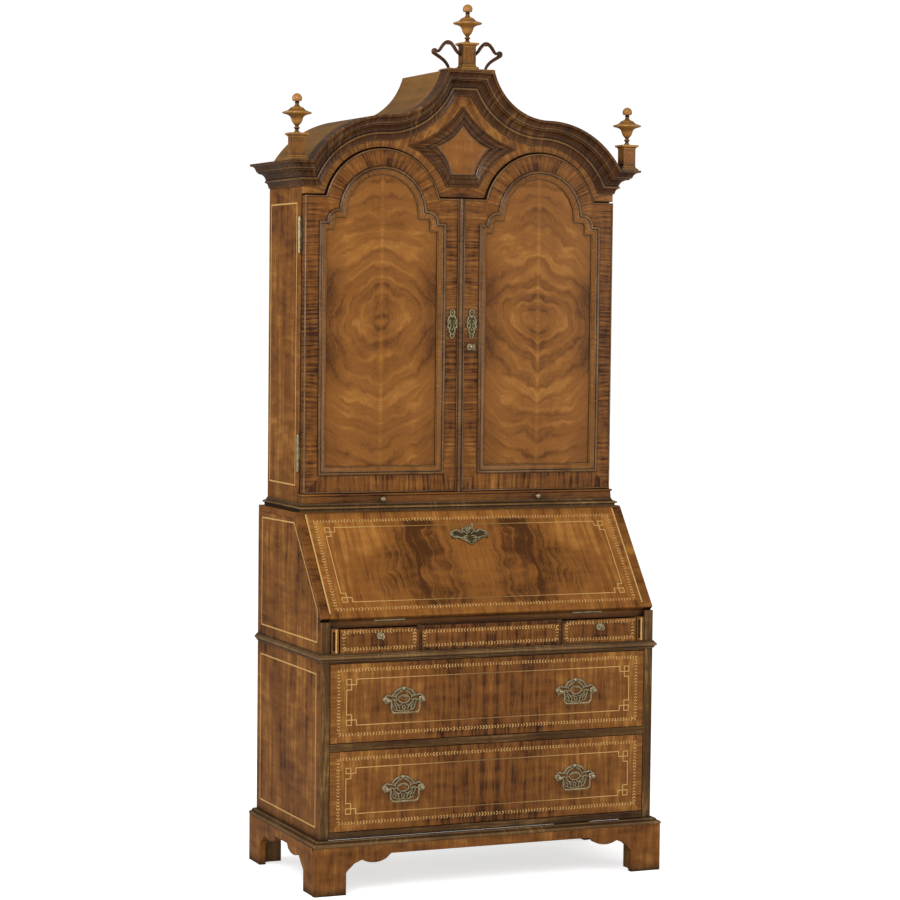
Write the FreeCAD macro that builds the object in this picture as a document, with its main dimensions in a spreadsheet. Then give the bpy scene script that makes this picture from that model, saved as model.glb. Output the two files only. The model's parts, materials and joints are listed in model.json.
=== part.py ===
"""A double-domed writing bureau: a lower case of drawers with a sloping fall, and an upper
case with two arched doors under a serpentine cornice with three turned finials.

The frame has +Z up and the front towards -Y. Its origin lies under the middle of the
object's bounding box, on the floor. All lengths are in millimetres. In the outlines below
y counts from the front plane of the lower case, and is moved to the frame at the end.
"""
import FreeCAD, Part
import math
import os
import re
from types import SimpleNamespace

V = FreeCAD.Vector

# Driving sizes, by piece
SIZES = {
    # Lower case
    "case_width": 1040,
    "case_depth": 540,
    "side_thick": 27,
    "back_thick": 12,
    "case_low": 137,
    "bottom_low": 154,
    "bottom_top": 174,
    "lower_opening_top": 403,
    "upper_opening_low": 425,
    "upper_opening_top": 651.5,
    "row_low": 678.5,
    "writing_top": 768,
    "open_fall_gap": 0.3,
    "rail_back_gap": 28,
    # Slope and top of the lower case
    "slope_foot": 776,
    "slope_top_y": 225,
    "bureau_top_low": 1042,
    "bureau_top": 1060,
    "top_lip": 5,
    # Small row behind the writing board's front edge
    "panel_half": 215,
    "panel_thick": 18,
    "divider_thick": 10,
    "divider_recess": 3,
    "loper_width": 22,
    "loper_side_gap": 3.5,
    "loper_back_gap": 68,
    "loper_drop": 0.5,
    "loper_lift": 0.5,
    "guide_thick": 3,
    "guide_front": 22,
    "cove_radius": 8,
    "cove_stop": 9,
    "cove_offset": 2.5,
    # Skirt, feet and mouldings of the lower case
    "skirt_out": 22.7,
    "skirt_thick": 20,
    "block_size": 60,
    "leg_width": 95,
    "leg_shoulder": 64,
    "scallop_top": 97,
    "scallop_low": 87,
    "scallop_reach": 136,
    "apron_low": 110,
    "side_leg_width": 72,
    "side_leg_shoulder": 59,
    "side_scallop_reach": 137,
    "base_mould_out": 24,
    "waist_mould_out": 10,
    "waist_mould_height": 21,
    # Long drawers
    "front_gap": 1,
    "front_thick": 20,
    "box_gap": 1.5,
    "box_lift": 0.3,
    "box_wall": 10,
    "box_floor": 6,
    "box_drop": 14,
    "box_back_gap": 48,
    "handle_x": 270,
    "upper_handle_z": 542,
    "lower_handle_z": 290,
    # Small drawers
    "small_gap": 0.75,
    "small_low_gap": 0.5,
    "small_top_gap": 3,
    "small_front_thick": 18,
    "small_wall": 7,
    "small_floor": 5,
    "small_drop": 8,
    "small_back_gap": 98,
    "small_key_x": 344,
    "small_key_z": 726,
    # Handles
    "plate_half": 63.5,
    "plate_top": 37,
    "plate_low": 34,
    "plate_thick": 2.5,
    "post_x": 53.5,
    "post_radius": 4.5,
    "post_length": 20,
    "bail_out": 15,
    "bail_radius": 2.2,
    "bail_side": 43,
    "bail_drop": 35,
    "bail_corner": 13,
    "bail_elbow": 5,
    "pin_clearance": 0.05,
    # Keys and locks
    "shank_radius": 2.2,
    "key_depth": 12,
    "key_reach": 36,
    "fall_key_reach": 40,
    "door_key_reach": 42,
    "bow_radius": 8,
    "bow_wire": 2,
    "lock_plate_thick": 2,
    "lock_plate_radius": 9,
    # Fall
    "fall_thick": 18,
    "fall_gap": 0.8,
    "fall_end": 356.5,
    "fall_clearance": 0.5,
    "fall_plate_half": 60,
    "fall_plate_height": 61,
    "fall_plate_s": 269,
    "fall_key_s": 283,
    "fall_hinge_x": 310,
    "fall_hinge_length": 95,
    "fall_knuckle_radius": 3,
    "fall_leaf_width": 24,
    "leaf_thick": 1.4,
    # Pigeonholes
    "gallery_front": 300,
    "gallery_board": 8,
    "gallery_floor": 6,
    "gallery_shelf_z": 830,
    "gallery_gap": 1,
    "gallery_back_gap": 48,
    "gallery_knob_radius": 5,
    # Upper case
    "upper_width": 985,
    "upper_side_thick": 22,
    "upper_side_front": 269,
    "frieze_front": 235,
    "frieze_height": 21,
    "frieze_bead_height": 6,
    "bead_out": 4,
    "upper_mould_out": 16,
    "upper_mould_height": 23,
    "shelf_thick": 18,
    "lower_shelf_z": 1390,
    "upper_shelf_z": 1680,
    "shelf_front": 290,
    # Candle slides
    "slide_inner": 148,
    "slide_outer": 354,
    "slide_gap": 0.4,
    "slide_lip": 14,
    "slide_board": 12,
    "slide_back_gap": 58,
    "knob_radius": 6.5,
    "knob_length": 15,
    "slide_knob_x": 248,
    # Doors
    "door_front": 240,
    "door_thick": 26,
    "door_edge_gap": 2.5,
    "door_gap": 1,
    "door_meeting": 2.5,
    "door_low_gap": 1,
    "door_shoulder": 1967,
    "arch_shift": 3.75,
    "door_arch_z": 1926.5,
    "arch_margin": 66.25,
    "door_top_gap": 4,
    "edge_bead": 4.5,
    "edge_bead_out": 3,
    "astragal_width": 17.5,
    "astragal_out": 10,
    # Door panels, measured from the arch line
    "stile_margin": 49.25,
    "panel_opening_low": 1163,
    "panel_shoulder": 1895,
    "ear_step": 23,
    "ear_top": 1931,
    "arch_step": 37,
    "panel_arch_z": 1920,
    "panel_inset": 8,
    "door_panel_thick": 12,
    "panel_mould_width": 25,
    "panel_mould_out": 5,
    # Door brass
    "escutcheon_x": 31,
    "escutcheon_z": 1602,
    "escutcheon_half": 15,
    "escutcheon_height": 89,
    "door_key_x": 26,
    "door_key_z": 1535,
    "hinge_out": 4.5,
    "hinge_length": 100,
    "hinge_low_z": 1227,
    "hinge_high_z": 1853,
    "knuckle_radius": 4,
    "knuckle_gap": 0.2,
    "hinge_tip_radius": 3.6,
    "hinge_pin_radius": 2,
    "leaf_width": 20,
    # Pediment
    "tympanum_front": 247,
    "tympanum_thick": 20,
    "cornice_low": 1994,
    "cornice_height": 70,
    "cornice_out": 62,
    "crest_z": 1927,
    "crest_margin": 24,
    "hollow_margin": 3,
    "platform_drop": 117,
    "roof_thick": 12,
    # Kite panel on the pediment
    "kite_margin": 31,
    "kite_side_drop": 14,
    "kite_low": 2003,
    "kite_out": 12,
    "kite_panel_out": 4,
    "kite_top_band": 57,
    "kite_side_step": 1,
    "kite_inner_low": 2039,
    # Finials, plinths and scrolls
    "plinth_inset": 30.5,
    "plinth_y": 222,
    "plinth_cap": 53,
    "plinth_body": 39,
    "plinth_cap_high": 8,
    "plinth_high": 76,
    "platform_half": 76,
    "platform_depth": 66,
    "platform_thick": 5,
    "finial_rim": 42,
    "finial_ball": 14.4,
    "finial_height": 104.8,
    "scroll_half_width": 7,
    "scroll_thick": 14,
    "scroll_foot_x": 58,
    "scroll_knob_x": 101,
    "scroll_knob_rise": 45,
    "scroll_peak_x": 60,
    "scroll_peak_rise": 75,
    "scroll_end_rise": 42,
    "scroll_knob_radius": 9,
    "overrun": 5,
}

# Shares of the distance from the middle of the case to an arch's middle
KITE_WIDTH_SHARES = {
    "kite_side_share": 0.684,
    "kite_foot_share": 0.208,
    "kite_panel_side_share": 0.32,
    "kite_panel_foot_share": 0.144,
}

# Sizes that follow the driving sizes, each through a named gap, step or share
FITTED = {
    # Lower case
    "writing_low": "writing_top - fall_thick - open_fall_gap",
    "rail_depth": "case_depth - back_thick - rail_back_gap",
    "loper_length": "case_depth - back_thick - loper_back_gap",
    "box_depth": "case_depth - back_thick - box_back_gap",
    "small_depth": "case_depth - back_thick - small_back_gap",
    "gallery_drawer_end": "case_depth - back_thick - gallery_back_gap",
    # Upper case
    "frieze_low": "bureau_top + upper_mould_height",
    "frieze_top": "frieze_low + frieze_height",
    "cupboard_floor": "frieze_top + frieze_bead_height",
    "slide_end": "case_depth - back_thick - slide_back_gap",
    "arch_x": "upper_width/4 + arch_shift",
    "door_arch_radius": "upper_width/4 - arch_margin",
    "panel_opening_half": "upper_width/4 - stile_margin",
    "ear_half": "panel_opening_half - ear_step",
    "panel_arch_radius": "ear_half - arch_step",
    # Pediment
    "crest_radius": "door_arch_radius + crest_margin",
    "hollow_radius": "arch_x + hollow_margin",
    "platform_low": "crest_z + crest_radius + hollow_radius - platform_drop",
    "kite_top": "platform_low - kite_margin",
    "kite_half": "arch_x*kite_side_share",
    "kite_side_z": "crest_z + crest_radius - kite_side_drop",
    "kite_foot_half": "arch_x*kite_foot_share",
    "kite_inner_top": "kite_top - kite_top_band",
    "kite_inner_half": "arch_x*kite_panel_side_share",
    "kite_inner_side_z": "kite_side_z - kite_side_step",
    "kite_inner_foot_half": "arch_x*kite_panel_foot_share",
    "plinth_x": "upper_width/2 + cornice_out - plinth_inset",
}

# Profiles and ornament outlines, as shares of their named sizes
BASE_MOULD_SHARES = ((0, 0), (0.94, 0), (1, 0.18), (1, 0.47), (0.86, 0.6), (0.6, 0.9), (0, 1))
WAIST_MOULD_SHARES = ((0, 0), (0.4, 0.12), (1, 0.43), (1, 0.57), (0.4, 0.88), (0, 1))
UPPER_MOULD_SHARES = ((0, 0), (0.6, 0), (0.6, 0.33), (1, 0.4), (1, 0.6), (0.7, 0.68), (0.3, 0.9), (0, 1))
CORNICE_SHARES = (
    (0, 0), (0.05, 0), (0.1, 0.12), (0.24, 0.24), (0.25, 0.3), (0.21, 0.33), (0.25, 0.38),
    (0.33, 0.5), (0.58, 0.6), (0.6, 0.66), (0.71, 0.69), (0.78, 0.8), (0.96, 0.9), (1, 0.92),
    (1, 1), (0, 1))
PLATE_SHARES = (
    (0, 1), (0.13, 0.95), (0.36, 0.7), (0.46, 0.4), (0.62, 0.25), (0.78, 0.42), (0.94, 0.25),
    (1, 0), (0.9, -0.3), (0.74, -0.2), (0.56, -0.5), (0.34, -0.72), (0.15, -0.9), (0, -0.97))
FALL_PLATE_SHARES = (
    (0, 0.5), (0.2, 0.46), (0.34, 0.2), (0.55, 0.35), (0.75, 0.3), (1, 0.12), (0.92, -0.18),
    (0.66, -0.08), (0.45, -0.28), (0.25, -0.36), (0.1, -0.5))
ESCUTCHEON_SHARES = (
    (0, 0.5), (0.3, 0.4), (0.55, 0.25), (1, 0.12), (0.92, -0.08), (0.5, -0.25), (0.3, -0.32),
    (0.32, -0.42), (0, -0.5))
FINIAL_SHARES = (
    (0.22, 0), (0.13, 0.07), (0.13, 0.1), (0.21, 0.135), (0.12, 0.17), (0.21, 0.22), (0.36, 0.3),
    (0.42, 0.4), (0.62, 0.49), (0.98, 0.53), (1, 0.56), (0.9, 0.59), (0.48, 0.64), (0.44, 0.68),
    (0.2, 0.71), (0.14, 0.76), (0.14, 0.82))
PLATE_HOLE_SHARES = ((0, 0.083, 0.167), (0.5, 0, 0.083), (0.233, -0.283, 0.083), (0.167, 0.333, 0.067))
SCALLOP_SHARES = (0.0625, 0.175, 0.35, 0.625, 0.9)
SIDE_SCALLOP_SHARES = (0.3, 0.625, 0.925)
KITE_BEND_SHARES = ((0.45, 0.369), (0.4, 0.61))
KNOB_SHARES = ((0.45, 0), (0.4, 0.45), (0.8, 0.6), (1, 0.75), (0.8, 0.93), (0, 1))

doc = FreeCAD.newDocument("writing_bureau")
sheet = doc.addObject("Spreadsheet::Sheet", "sizes")
formulas = {name: "=" + formula for name, formula in FITTED.items()}
rows = {**SIZES, **KITE_WIDTH_SHARES, **formulas}
for row, (name, value) in enumerate(rows.items(), start=1):
    sheet.set(f"A{row}", name)
    sheet.setAlias(f"B{row}", name)
    sheet.set(f"B{row}", str(value))
doc.recompute()
size = SimpleNamespace(**{name: float(sheet.get(name)) for name in rows})

# Places worked out from the driving sizes; y counts from the lower case's front plane
front = (size.key_reach - size.case_depth) / 2
case_half = size.case_width / 2
inner_half = case_half - size.side_thick
upper_half = size.upper_width / 2
upper_inner = upper_half - size.upper_side_thick
back_y = size.case_depth - size.back_thick
slope = math.atan2(size.bureau_top - size.slope_foot, size.slope_top_y)
slope_length = math.hypot(size.bureau_top - size.slope_foot, size.slope_top_y)
door_back = size.door_front + size.door_thick
row_drawer_end = "case_width/2 - side_thick - 2*loper_side_gap - loper_width"
parts = []


# Helpers for boards bound to the sheet
def cells(text):
    """An expression in size names, with each name pointed at its cell."""
    return re.sub(r"[a-z][a-z_]+", lambda word: "sizes." + word.group(), text)


def board(name, x, y, z):
    """A box between three pairs of expressions, with y from the lower case's front."""
    piece = doc.addObject("Part::Box", name)
    shift = " + (key_reach - case_depth)/2"
    for length, axis, (start, end), moved in (
            ("Length", "x", x, ""), ("Width", "y", y, shift), ("Height", "z", z, "")):
        piece.setExpression(length, cells(f"({end}) - ({start})"))
        piece.setExpression(f"Placement.Base.{axis}", cells(start + moved))
    return piece


def sided(side, near, far):
    """The pair of x expressions from near to far, on the right or mirrored to the left."""
    return (near, far) if side > 0 else (f"-({far})", f"-({near})")


def part(name, *pieces):
    """A sub-part of one or more separate solids, under the name of its file."""
    if len(pieces) == 1:
        whole = pieces[0]
    else:
        whole = doc.addObject("Part::Compound", name + "_group")
        whole.Links = list(pieces)
    whole.Label = name
    parts.append(whole)
    return whole


def shaped(name, *solids):
    """A piece whose outline needs arcs or mitres, placed from the lower case's front."""
    feature = doc.addObject("Part::Feature", name)
    feature.Shape = Part.makeCompound(list(solids))
    feature.Placement = FreeCAD.Placement(V(0, front, 0), FreeCAD.Rotation())
    return feature


# Helpers for outlines
def upright(y):
    """Outline points as x and z on the plane at y."""
    return lambda a, b: V(a, y, b)


def sideways(x):
    """Outline points as y and z on the plane at x."""
    return lambda a, b: V(x, a, b)


def level(z):
    """Outline points as x and y on the plane at z."""
    return lambda a, b: V(a, b, z)


def run_of_edges(place, start, steps):
    """Edges from start through the steps: a corner, or the middle and end of an arc."""
    edges = []
    here = start
    for step in steps:
        end = step[1] if isinstance(step[0], tuple) else step
        if math.dist(here, end) > Part.Precision.confusion():
            if end is step:
                edges.append(Part.LineSegment(place(*here), place(*end)).toShape())
            else:
                edges.append(Part.Arc(place(*here), place(*step[0]), place(*end)).toShape())
        here = end
    return edges


def slab(place, start, steps, along):
    """A solid from a closed outline, carried along a vector."""
    edges = run_of_edges(place, start, list(steps) + [start])
    return Part.Face(Part.Wire(edges)).extrude(along)


def mirrored_outline(points):
    """The right half of an outline, top to bottom, and its mirror image."""
    return list(points) + [(-a, b) for a, b in reversed(points) if a > 0]


def polygon_slab(place, points, along):
    """A solid from straight-sided points."""
    return slab(place, points[0], points[1:], along)


def on_circle(centre, radius, angle):
    """The point of a circle at an angle."""
    return (centre[0] + radius * math.cos(angle), centre[1] + radius * math.sin(angle))


# Helpers for turned and moulded pieces
def turned(shares, radius, height):
    """A solid of revolution about Z from shares of its radius and height."""
    points = [V(r * radius, 0, h * height) for r, h in shares]
    corners = [V(0, 0, points[0].z)] + points
    if points[-1].x > 0:
        corners.append(V(0, 0, points[-1].z))
    face = Part.Face(Part.makePolygon(corners + corners[:1]))
    return face.revolve(V(0, 0, 0), V(0, 0, 1), 360)


def knob(x, y, z, radius, length):
    """A small turned knob that stands out from the plane at y."""
    piece = turned(KNOB_SHARES, radius, length)
    piece.rotate(V(0, 0, 0), V(1, 0, 0), 90)
    piece.translate(V(x, y, z))
    return piece


def mitred_frame(shares, out, low, height, half, face_y):
    """A moulding in three lengths, mitred at the front corners, round a case."""
    points = [(share_out * out, low + share_up * height) for share_out, share_up in shares]
    reach = half + out
    across = polygon_slab(sideways(-reach), [(face_y - a, b) for a, b in points], V(2 * reach, 0, 0))
    over = V(0, 0, height)
    footprint = [(-half, face_y), (-reach, face_y - out), (reach, face_y - out), (half, face_y)]
    lengths = [across.common(polygon_slab(level(low), footprint, over))]
    for side in (-1, 1):
        run = V(0, size.case_depth - face_y + out, 0)
        length = polygon_slab(
            upright(face_y - out), [(side * (half + a), b) for a, b in points], run)
        corners = [
            (side * half, face_y), (side * reach, face_y - out),
            (side * reach, size.case_depth), (side * half, size.case_depth)]
        lengths.append(length.common(polygon_slab(level(low), corners, over)))
    return lengths


# Lower case
def slope_point(along, inward):
    """The y and z at a distance up the slope from its foot, and inward from its face."""
    return (
        along * math.cos(slope) + inward * math.sin(slope),
        size.slope_foot + along * math.sin(slope) - inward * math.cos(slope))


hinge_along = (
    size.writing_top - size.slope_foot + size.fall_thick * math.cos(slope)) / math.sin(slope)
hinge_y, hinge_z = slope_point(hinge_along, size.fall_thick)
stop_along = slope_length - size.top_lip
stop_y, stop_z = slope_point(stop_along, size.fall_thick)


def lower_sides():
    """The two side boards, with the slope and the notch under the fall."""
    outline = [
        (0, size.case_low), (0, size.writing_top), (hinge_y, size.writing_top),
        slope_point(hinge_along, 0), slope_point(stop_along, 0), (stop_y, stop_z),
        (stop_y, size.bureau_top_low), (size.case_depth, size.bureau_top_low),
        (size.case_depth, size.case_low)]
    for name, x in (("lower_side_left", -case_half), ("lower_side_right", inner_half)):
        part(name, shaped(name, polygon_slab(sideways(x), outline, V(size.side_thick, 0, 0))))


def lower_boards():
    """The bottom board, the two rails with dust boards, and the back."""
    wide = ("-case_width/2 + side_thick", "case_width/2 - side_thick")
    deep = ("0", "rail_depth")
    part(
        "drawer_rails",
        board("bottom_board", wide, deep, ("bottom_low", "bottom_top")),
        board("middle_rail", wide, deep, ("lower_opening_top", "upper_opening_low")),
        board("upper_rail", wide, deep, ("upper_opening_top", "row_low")))
    part("lower_back", board(
        "lower_back", wide, ("case_depth - back_thick", "case_depth"), ("case_low", "bureau_top_low")))


def writing_board():
    """The fixed writing board, with hollows for the fall's hinges along its front edge."""
    start = hinge_y + size.fall_clearance
    plain = Part.makeBox(
        2 * inner_half, back_y - start, size.writing_top - size.writing_low,
        V(-inner_half, start, size.writing_low))
    for side in (-1, 1):
        plain = plain.cut(hinge_hollow(side * size.fall_hinge_x))
        plain = plain.cut(fixed_fall_leaf(side * size.fall_hinge_x, size.pin_clearance))
    part("writing_board", shaped("writing_board", plain))


def bureau_top():
    """The board over the slope, with its front edge square to the fall."""
    outline = [
        (size.case_depth, size.bureau_top_low), (size.case_depth, size.bureau_top),
        (size.slope_top_y, size.bureau_top), slope_point(stop_along, 0), (stop_y, stop_z),
        (stop_y, size.bureau_top_low)]
    part("bureau_top", shaped(
        "bureau_top", polygon_slab(sideways(-case_half), outline, V(size.case_width, 0, 0))))


def small_row():
    """The fixed middle panel, the upright dividers and the guides of the lopers."""
    tall = ("row_low", "writing_low")
    part("centre_panel", board(
        "centre_panel", ("-panel_half", "panel_half"), ("0", "panel_thick"), tall))
    uprights = []
    for side, word in ((-1, "left"), (1, "right")):
        uprights.append(board(
            f"divider_{word}", sided(side, "panel_half", "panel_half + divider_thick"),
            ("divider_recess", "rail_depth"), tall))
        guide = sided(side, row_drawer_end, row_drawer_end + " + guide_thick")
        uprights.append(board(f"guide_{word}", guide, ("guide_front", "rail_depth"), tall))
    part("row_partitions", *uprights)


# Skirt, feet and mouldings
def skirt():
    """The scalloped skirt: the front and two sides, standing on bracket legs."""
    outer = case_half + size.skirt_out
    leg = outer - size.leg_width
    bevel, dip, first, middle, last = [share * size.scallop_reach for share in SCALLOP_SHARES]
    front_half = [
        (outer, size.case_low), (outer, 0), (leg, 0), (leg, size.leg_shoulder),
        (leg - bevel, size.leg_shoulder + bevel), (leg - dip, size.scallop_low),
        (leg - first, size.scallop_top)]
    lobe = ((leg - middle, size.scallop_low), (leg - last, size.scallop_top))
    rise = [(leg - size.scallop_reach, size.apron_low)]
    right = front_half[1:] + [lobe] + rise
    left = [(-rise[0][0], rise[0][1]), (-lobe[1][0], lobe[1][1])]
    left.append(((-lobe[0][0], lobe[0][1]), (-front_half[-1][0], front_half[-1][1])))
    left += [(-a, b) for a, b in reversed(front_half[:-1])]
    face = -size.skirt_out
    pieces = [slab(upright(face), front_half[0], right + left, V(0, size.skirt_thick, 0))]
    for side in (-1, 1):
        x = side * outer
        pieces.append(side_skirt(x, V(-side * size.skirt_thick, 0, 0)))
    part("skirt", shaped("skirt", *pieces))


def side_skirt(x, along):
    """One side of the skirt, with a leg and a scallop at each end."""
    start = size.skirt_thick - size.skirt_out
    end = size.case_depth
    front_leg = size.side_leg_width
    rear_leg = end - size.leg_width
    first, middle, last = [share * size.side_scallop_reach for share in SIDE_SCALLOP_SHARES]

    def half(leg, way):
        rise = (leg + way * size.side_scallop_reach, size.apron_low)
        lobe_end = (leg + way * last, size.scallop_top)
        lobe_low = (leg + way * middle, size.scallop_low)
        lobe_start = (leg + way * first, size.scallop_top)
        shoulder = (leg, size.side_leg_shoulder)
        return shoulder, lobe_start, lobe_low, lobe_end, rise

    shoulder, lobe_start, lobe_low, lobe_end, rise = half(front_leg, 1)
    steps = [(start, 0), (front_leg, 0), shoulder, lobe_start, (lobe_low, lobe_end), rise]
    shoulder, lobe_start, lobe_low, lobe_end, rise = half(rear_leg, -1)
    steps += [rise, lobe_end, (lobe_low, lobe_start), shoulder, (rear_leg, 0), (end, 0)]
    steps.append((end, size.case_low))
    return slab(sideways(x), (start, size.case_low), steps, along)


def foot_blocks():
    """The four corner blocks that carry the case behind the skirt."""
    blocks = []
    inner = "case_width/2 + skirt_out - skirt_thick - block_size"
    outer = "case_width/2 + skirt_out - skirt_thick"
    ends = {
        "front": ("skirt_thick - skirt_out", "skirt_thick - skirt_out + block_size"),
        "rear": ("case_depth - block_size", "case_depth")}
    for side, word in ((-1, "left"), (1, "right")):
        for end, pair in ends.items():
            blocks.append(board(f"block_{end}_{word}", sided(side, inner, outer), pair, ("0", "case_low")))
    part("foot_blocks", *blocks)


def case_mouldings():
    """The mitred mouldings at the foot and waist of the lower case."""
    part("base_moulding", shaped("base_moulding", *mitred_frame(
        BASE_MOULD_SHARES, size.base_mould_out, size.case_low, size.bottom_low - size.case_low,
        case_half, 0)))
    part("waist_moulding", shaped("waist_moulding", *mitred_frame(
        WAIST_MOULD_SHARES, size.waist_mould_out, size.row_low - size.waist_mould_height,
        size.waist_mould_height, case_half, 0)))


# Drawers
def open_box(name, x, y, z, wall, floor):
    """The two sides, the back and the bottom of a drawer, between pairs of expressions."""
    (left, right), (start, end), (low, high) = x, y, z
    inside = (f"{left} + {wall}", f"{right} - {wall}")
    return [
        board(f"{name}_side_left", (left, f"{left} + {wall}"), y, z),
        board(f"{name}_side_right", (f"{right} - {wall}", right), y, z),
        board(f"{name}_back", inside, (f"{end} - {wall}", end), z),
        board(f"{name}_bottom", inside, (start, f"{end} - {wall}"), (low, f"{low} + {floor}"))]


def long_drawer(name, low, high, handle_z):
    """A full-width drawer: its front, its box and its two handles' plates and posts."""
    half = "(case_width/2 - side_thick - front_gap)"
    part(f"{name}_front", board(
        f"{name}_front", ("-" + half, half), ("0", "front_thick"),
        (f"{low} + front_gap", f"{high} - front_gap")))
    half = "(case_width/2 - side_thick - box_gap)"
    part(f"{name}_box", *open_box(
        name, ("-" + half, half), ("front_thick", "box_depth"),
        (f"{low} + box_lift", f"{high} - box_drop"), "box_wall", "box_floor"))
    solids = []
    for side in (-1, 1):
        solids += handle_plate(side * size.handle_x, handle_z)
    part(f"{name}_plates", shaped(f"{name}_plates", *solids))


def handle_plate(x, z):
    """A pierced backplate and two posts, each cross-bored for the bail."""
    outline = [
        (a * size.plate_half, b * (size.plate_top if b > 0 else size.plate_low))
        for a, b in PLATE_SHARES]
    points = [(x + a, z + b) for a, b in mirrored_outline(outline)]
    plate = polygon_slab(upright(-size.plate_thick), points, V(0, size.plate_thick, 0))
    for shares in PLATE_HOLE_SHARES:
        across, up, radius = [share * size.plate_half for share in shares]
        for place in {x - across, x + across}:
            plate = plate.cut(Part.makeCylinder(
                radius, size.plate_thick, V(place, -size.plate_thick, z + up), V(0, 1, 0)))
    solids = [plate]
    for side in (-1, 1):
        place = V(x + side * size.post_x, -size.plate_thick, z)
        post = Part.makeCylinder(size.post_radius, size.post_length, place, V(0, -1, 0))
        bore = Part.makeCylinder(
            size.bail_radius + size.pin_clearance, 2 * size.post_radius,
            V(x + side * size.post_x - size.post_radius, -size.bail_out, z), V(1, 0, 0))
        solids.append(post.cut(bore))
    return solids


def bail(name, x, z):
    """A drop handle: one bent rod whose ends turn in the posts."""
    place = upright(-size.bail_out)
    low = z - size.bail_drop
    side = size.bail_side
    corner = size.bail_corner
    elbow = size.bail_elbow
    bend = elbow * (1 - math.sqrt(0.5))
    sweep = corner * (1 - math.sqrt(0.5))
    right = [
        (x + side + elbow, z),
        ((x + side + bend, z - bend), (x + side, z - elbow)),
        (x + side, low + corner),
        ((x + side - sweep, low + sweep), (x + side - corner, low))]
    left = [
        (x - side + corner, low),
        ((x - side + sweep, low + sweep), (x - side, low + corner)),
        (x - side, z - elbow),
        ((x - side - bend, z - bend), (x - side - elbow, z)),
        (x - size.post_x, z)]
    path = Part.Wire(run_of_edges(place, (x + size.post_x, z), right + left))
    ring = Part.Wire(Part.makeCircle(
        size.bail_radius, V(x + size.post_x, -size.bail_out, z), V(1, 0, 0)))
    rod = path.makePipeShell([ring], True, False)
    part(name, shaped(name, rod))


def key_shape(reach, depth):
    """A key along -Y from the plane y = 0: its shank, and a ring bow at its end."""
    bow_y = -reach + size.bow_wire
    shank = Part.makeCylinder(
        size.shank_radius, depth - bow_y - 2 * size.bow_radius, V(0, depth, 0), V(0, -1, 0))
    bow = Part.makeTorus(
        size.bow_radius, size.bow_wire, V(0, bow_y + size.bow_radius, 0), V(1, 0, 0))
    collar = Part.makeCylinder(
        2 * size.shank_radius, size.bow_wire, V(0, bow_y + 2 * size.bow_radius + size.bow_wire, 0),
        V(0, 1, 0))
    return shank.fuse([bow, collar])


def key_hole(x, y, z, depth):
    """The bore that a key's shank turns in, from the plane at y inwards."""
    return Part.makeCylinder(
        size.shank_radius + size.pin_clearance, depth + size.overrun, V(x, y - size.overrun, z),
        V(0, 1, 0))


def small_drawer(side, word):
    """A short drawer beside the middle panel: front with its lock plate, and box."""
    name = f"small_drawer_{word}"
    near = "panel_half + divider_thick + small_gap"
    far = f"{row_drawer_end} - small_gap"
    z = ("row_low + small_low_gap", "writing_low - small_top_gap")
    key_x = side * size.small_key_x
    bore = doc.addObject("Part::Cylinder", f"{name}_bore")
    bore.setExpression("Radius", cells("shank_radius + pin_clearance"))
    bore.setExpression("Height", cells("small_front_thick"))
    bore.Placement = FreeCAD.Placement(V(0, 0, 0), FreeCAD.Rotation(V(1, 0, 0), -90))
    bore.setExpression("Placement.Base.x", cells(f"{side}*small_key_x"))
    bore.setExpression("Placement.Base.y", cells("(key_reach - case_depth)/2"))
    bore.setExpression("Placement.Base.z", cells("small_key_z"))
    face = doc.addObject("Part::Cut", f"{name}_front")
    face.Base = board(f"{name}_front_board", sided(side, near, far), ("0", "small_front_thick"), z)
    face.Tool = bore
    box = open_box(
        name, sided(side, near, far), ("small_front_thick", "small_depth"),
        (z[0], "writing_low - small_top_gap - small_drop"), "small_wall", "small_floor")
    plate = lock_plate(key_x, 0, size.small_key_z)
    part(name, face, shaped(f"{name}_lock_plate", plate), *box)


def lock_plate(x, y, z):
    """A small round lock plate on the plane at y, bored for a key."""
    plate = Part.makeCylinder(
        size.lock_plate_radius, size.lock_plate_thick, V(x, y, z), V(0, -1, 0))
    return plate.cut(key_hole(x, y - size.lock_plate_thick, z, size.lock_plate_thick))


def placed_key(name, x, y, z, reach):
    """A key in a lock whose face is the plane at y."""
    shape = key_shape(reach, size.key_depth)
    shape.translate(V(x, y, z))
    part(name, shaped(name, shape))


def lopers():
    """The two pull-out bearers of the fall, with a stopped cove on the front end."""
    near = f"{row_drawer_end} + loper_side_gap"
    for side, word in ((-1, "left"), (1, "right")):
        name = f"loper_{word}"
        rail = board(
            f"{name}_rail", sided(side, near, near + " + loper_width"), ("0", "loper_length"),
            ("row_low + loper_lift", "writing_low - loper_drop"))
        cove = doc.addObject("Part::Cylinder", f"{name}_cove")
        cove.setExpression("Radius", cells("cove_radius"))
        cove.setExpression("Height", cells("writing_low - row_low - 2*cove_stop"))
        cove.setExpression(
            "Placement.Base.x", cells(f"{side}*({near} + loper_width/2)"))
        cove.setExpression(
            "Placement.Base.y", cells("(key_reach - case_depth)/2 - cove_offset"))
        cove.setExpression("Placement.Base.z", cells("row_low + cove_stop"))
        bearer = doc.addObject("Part::Cut", name)
        bearer.Base = rail
        bearer.Tool = cove
        part(name, bearer)


# Fall
def on_slope(shape):
    """A shape drawn with Y up the slope and Z out of it, laid on the slope."""
    shape.rotate(V(0, 0, 0), V(1, 0, 0), math.degrees(slope))
    shape.translate(V(0, 0, size.slope_foot))
    return shape


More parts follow.
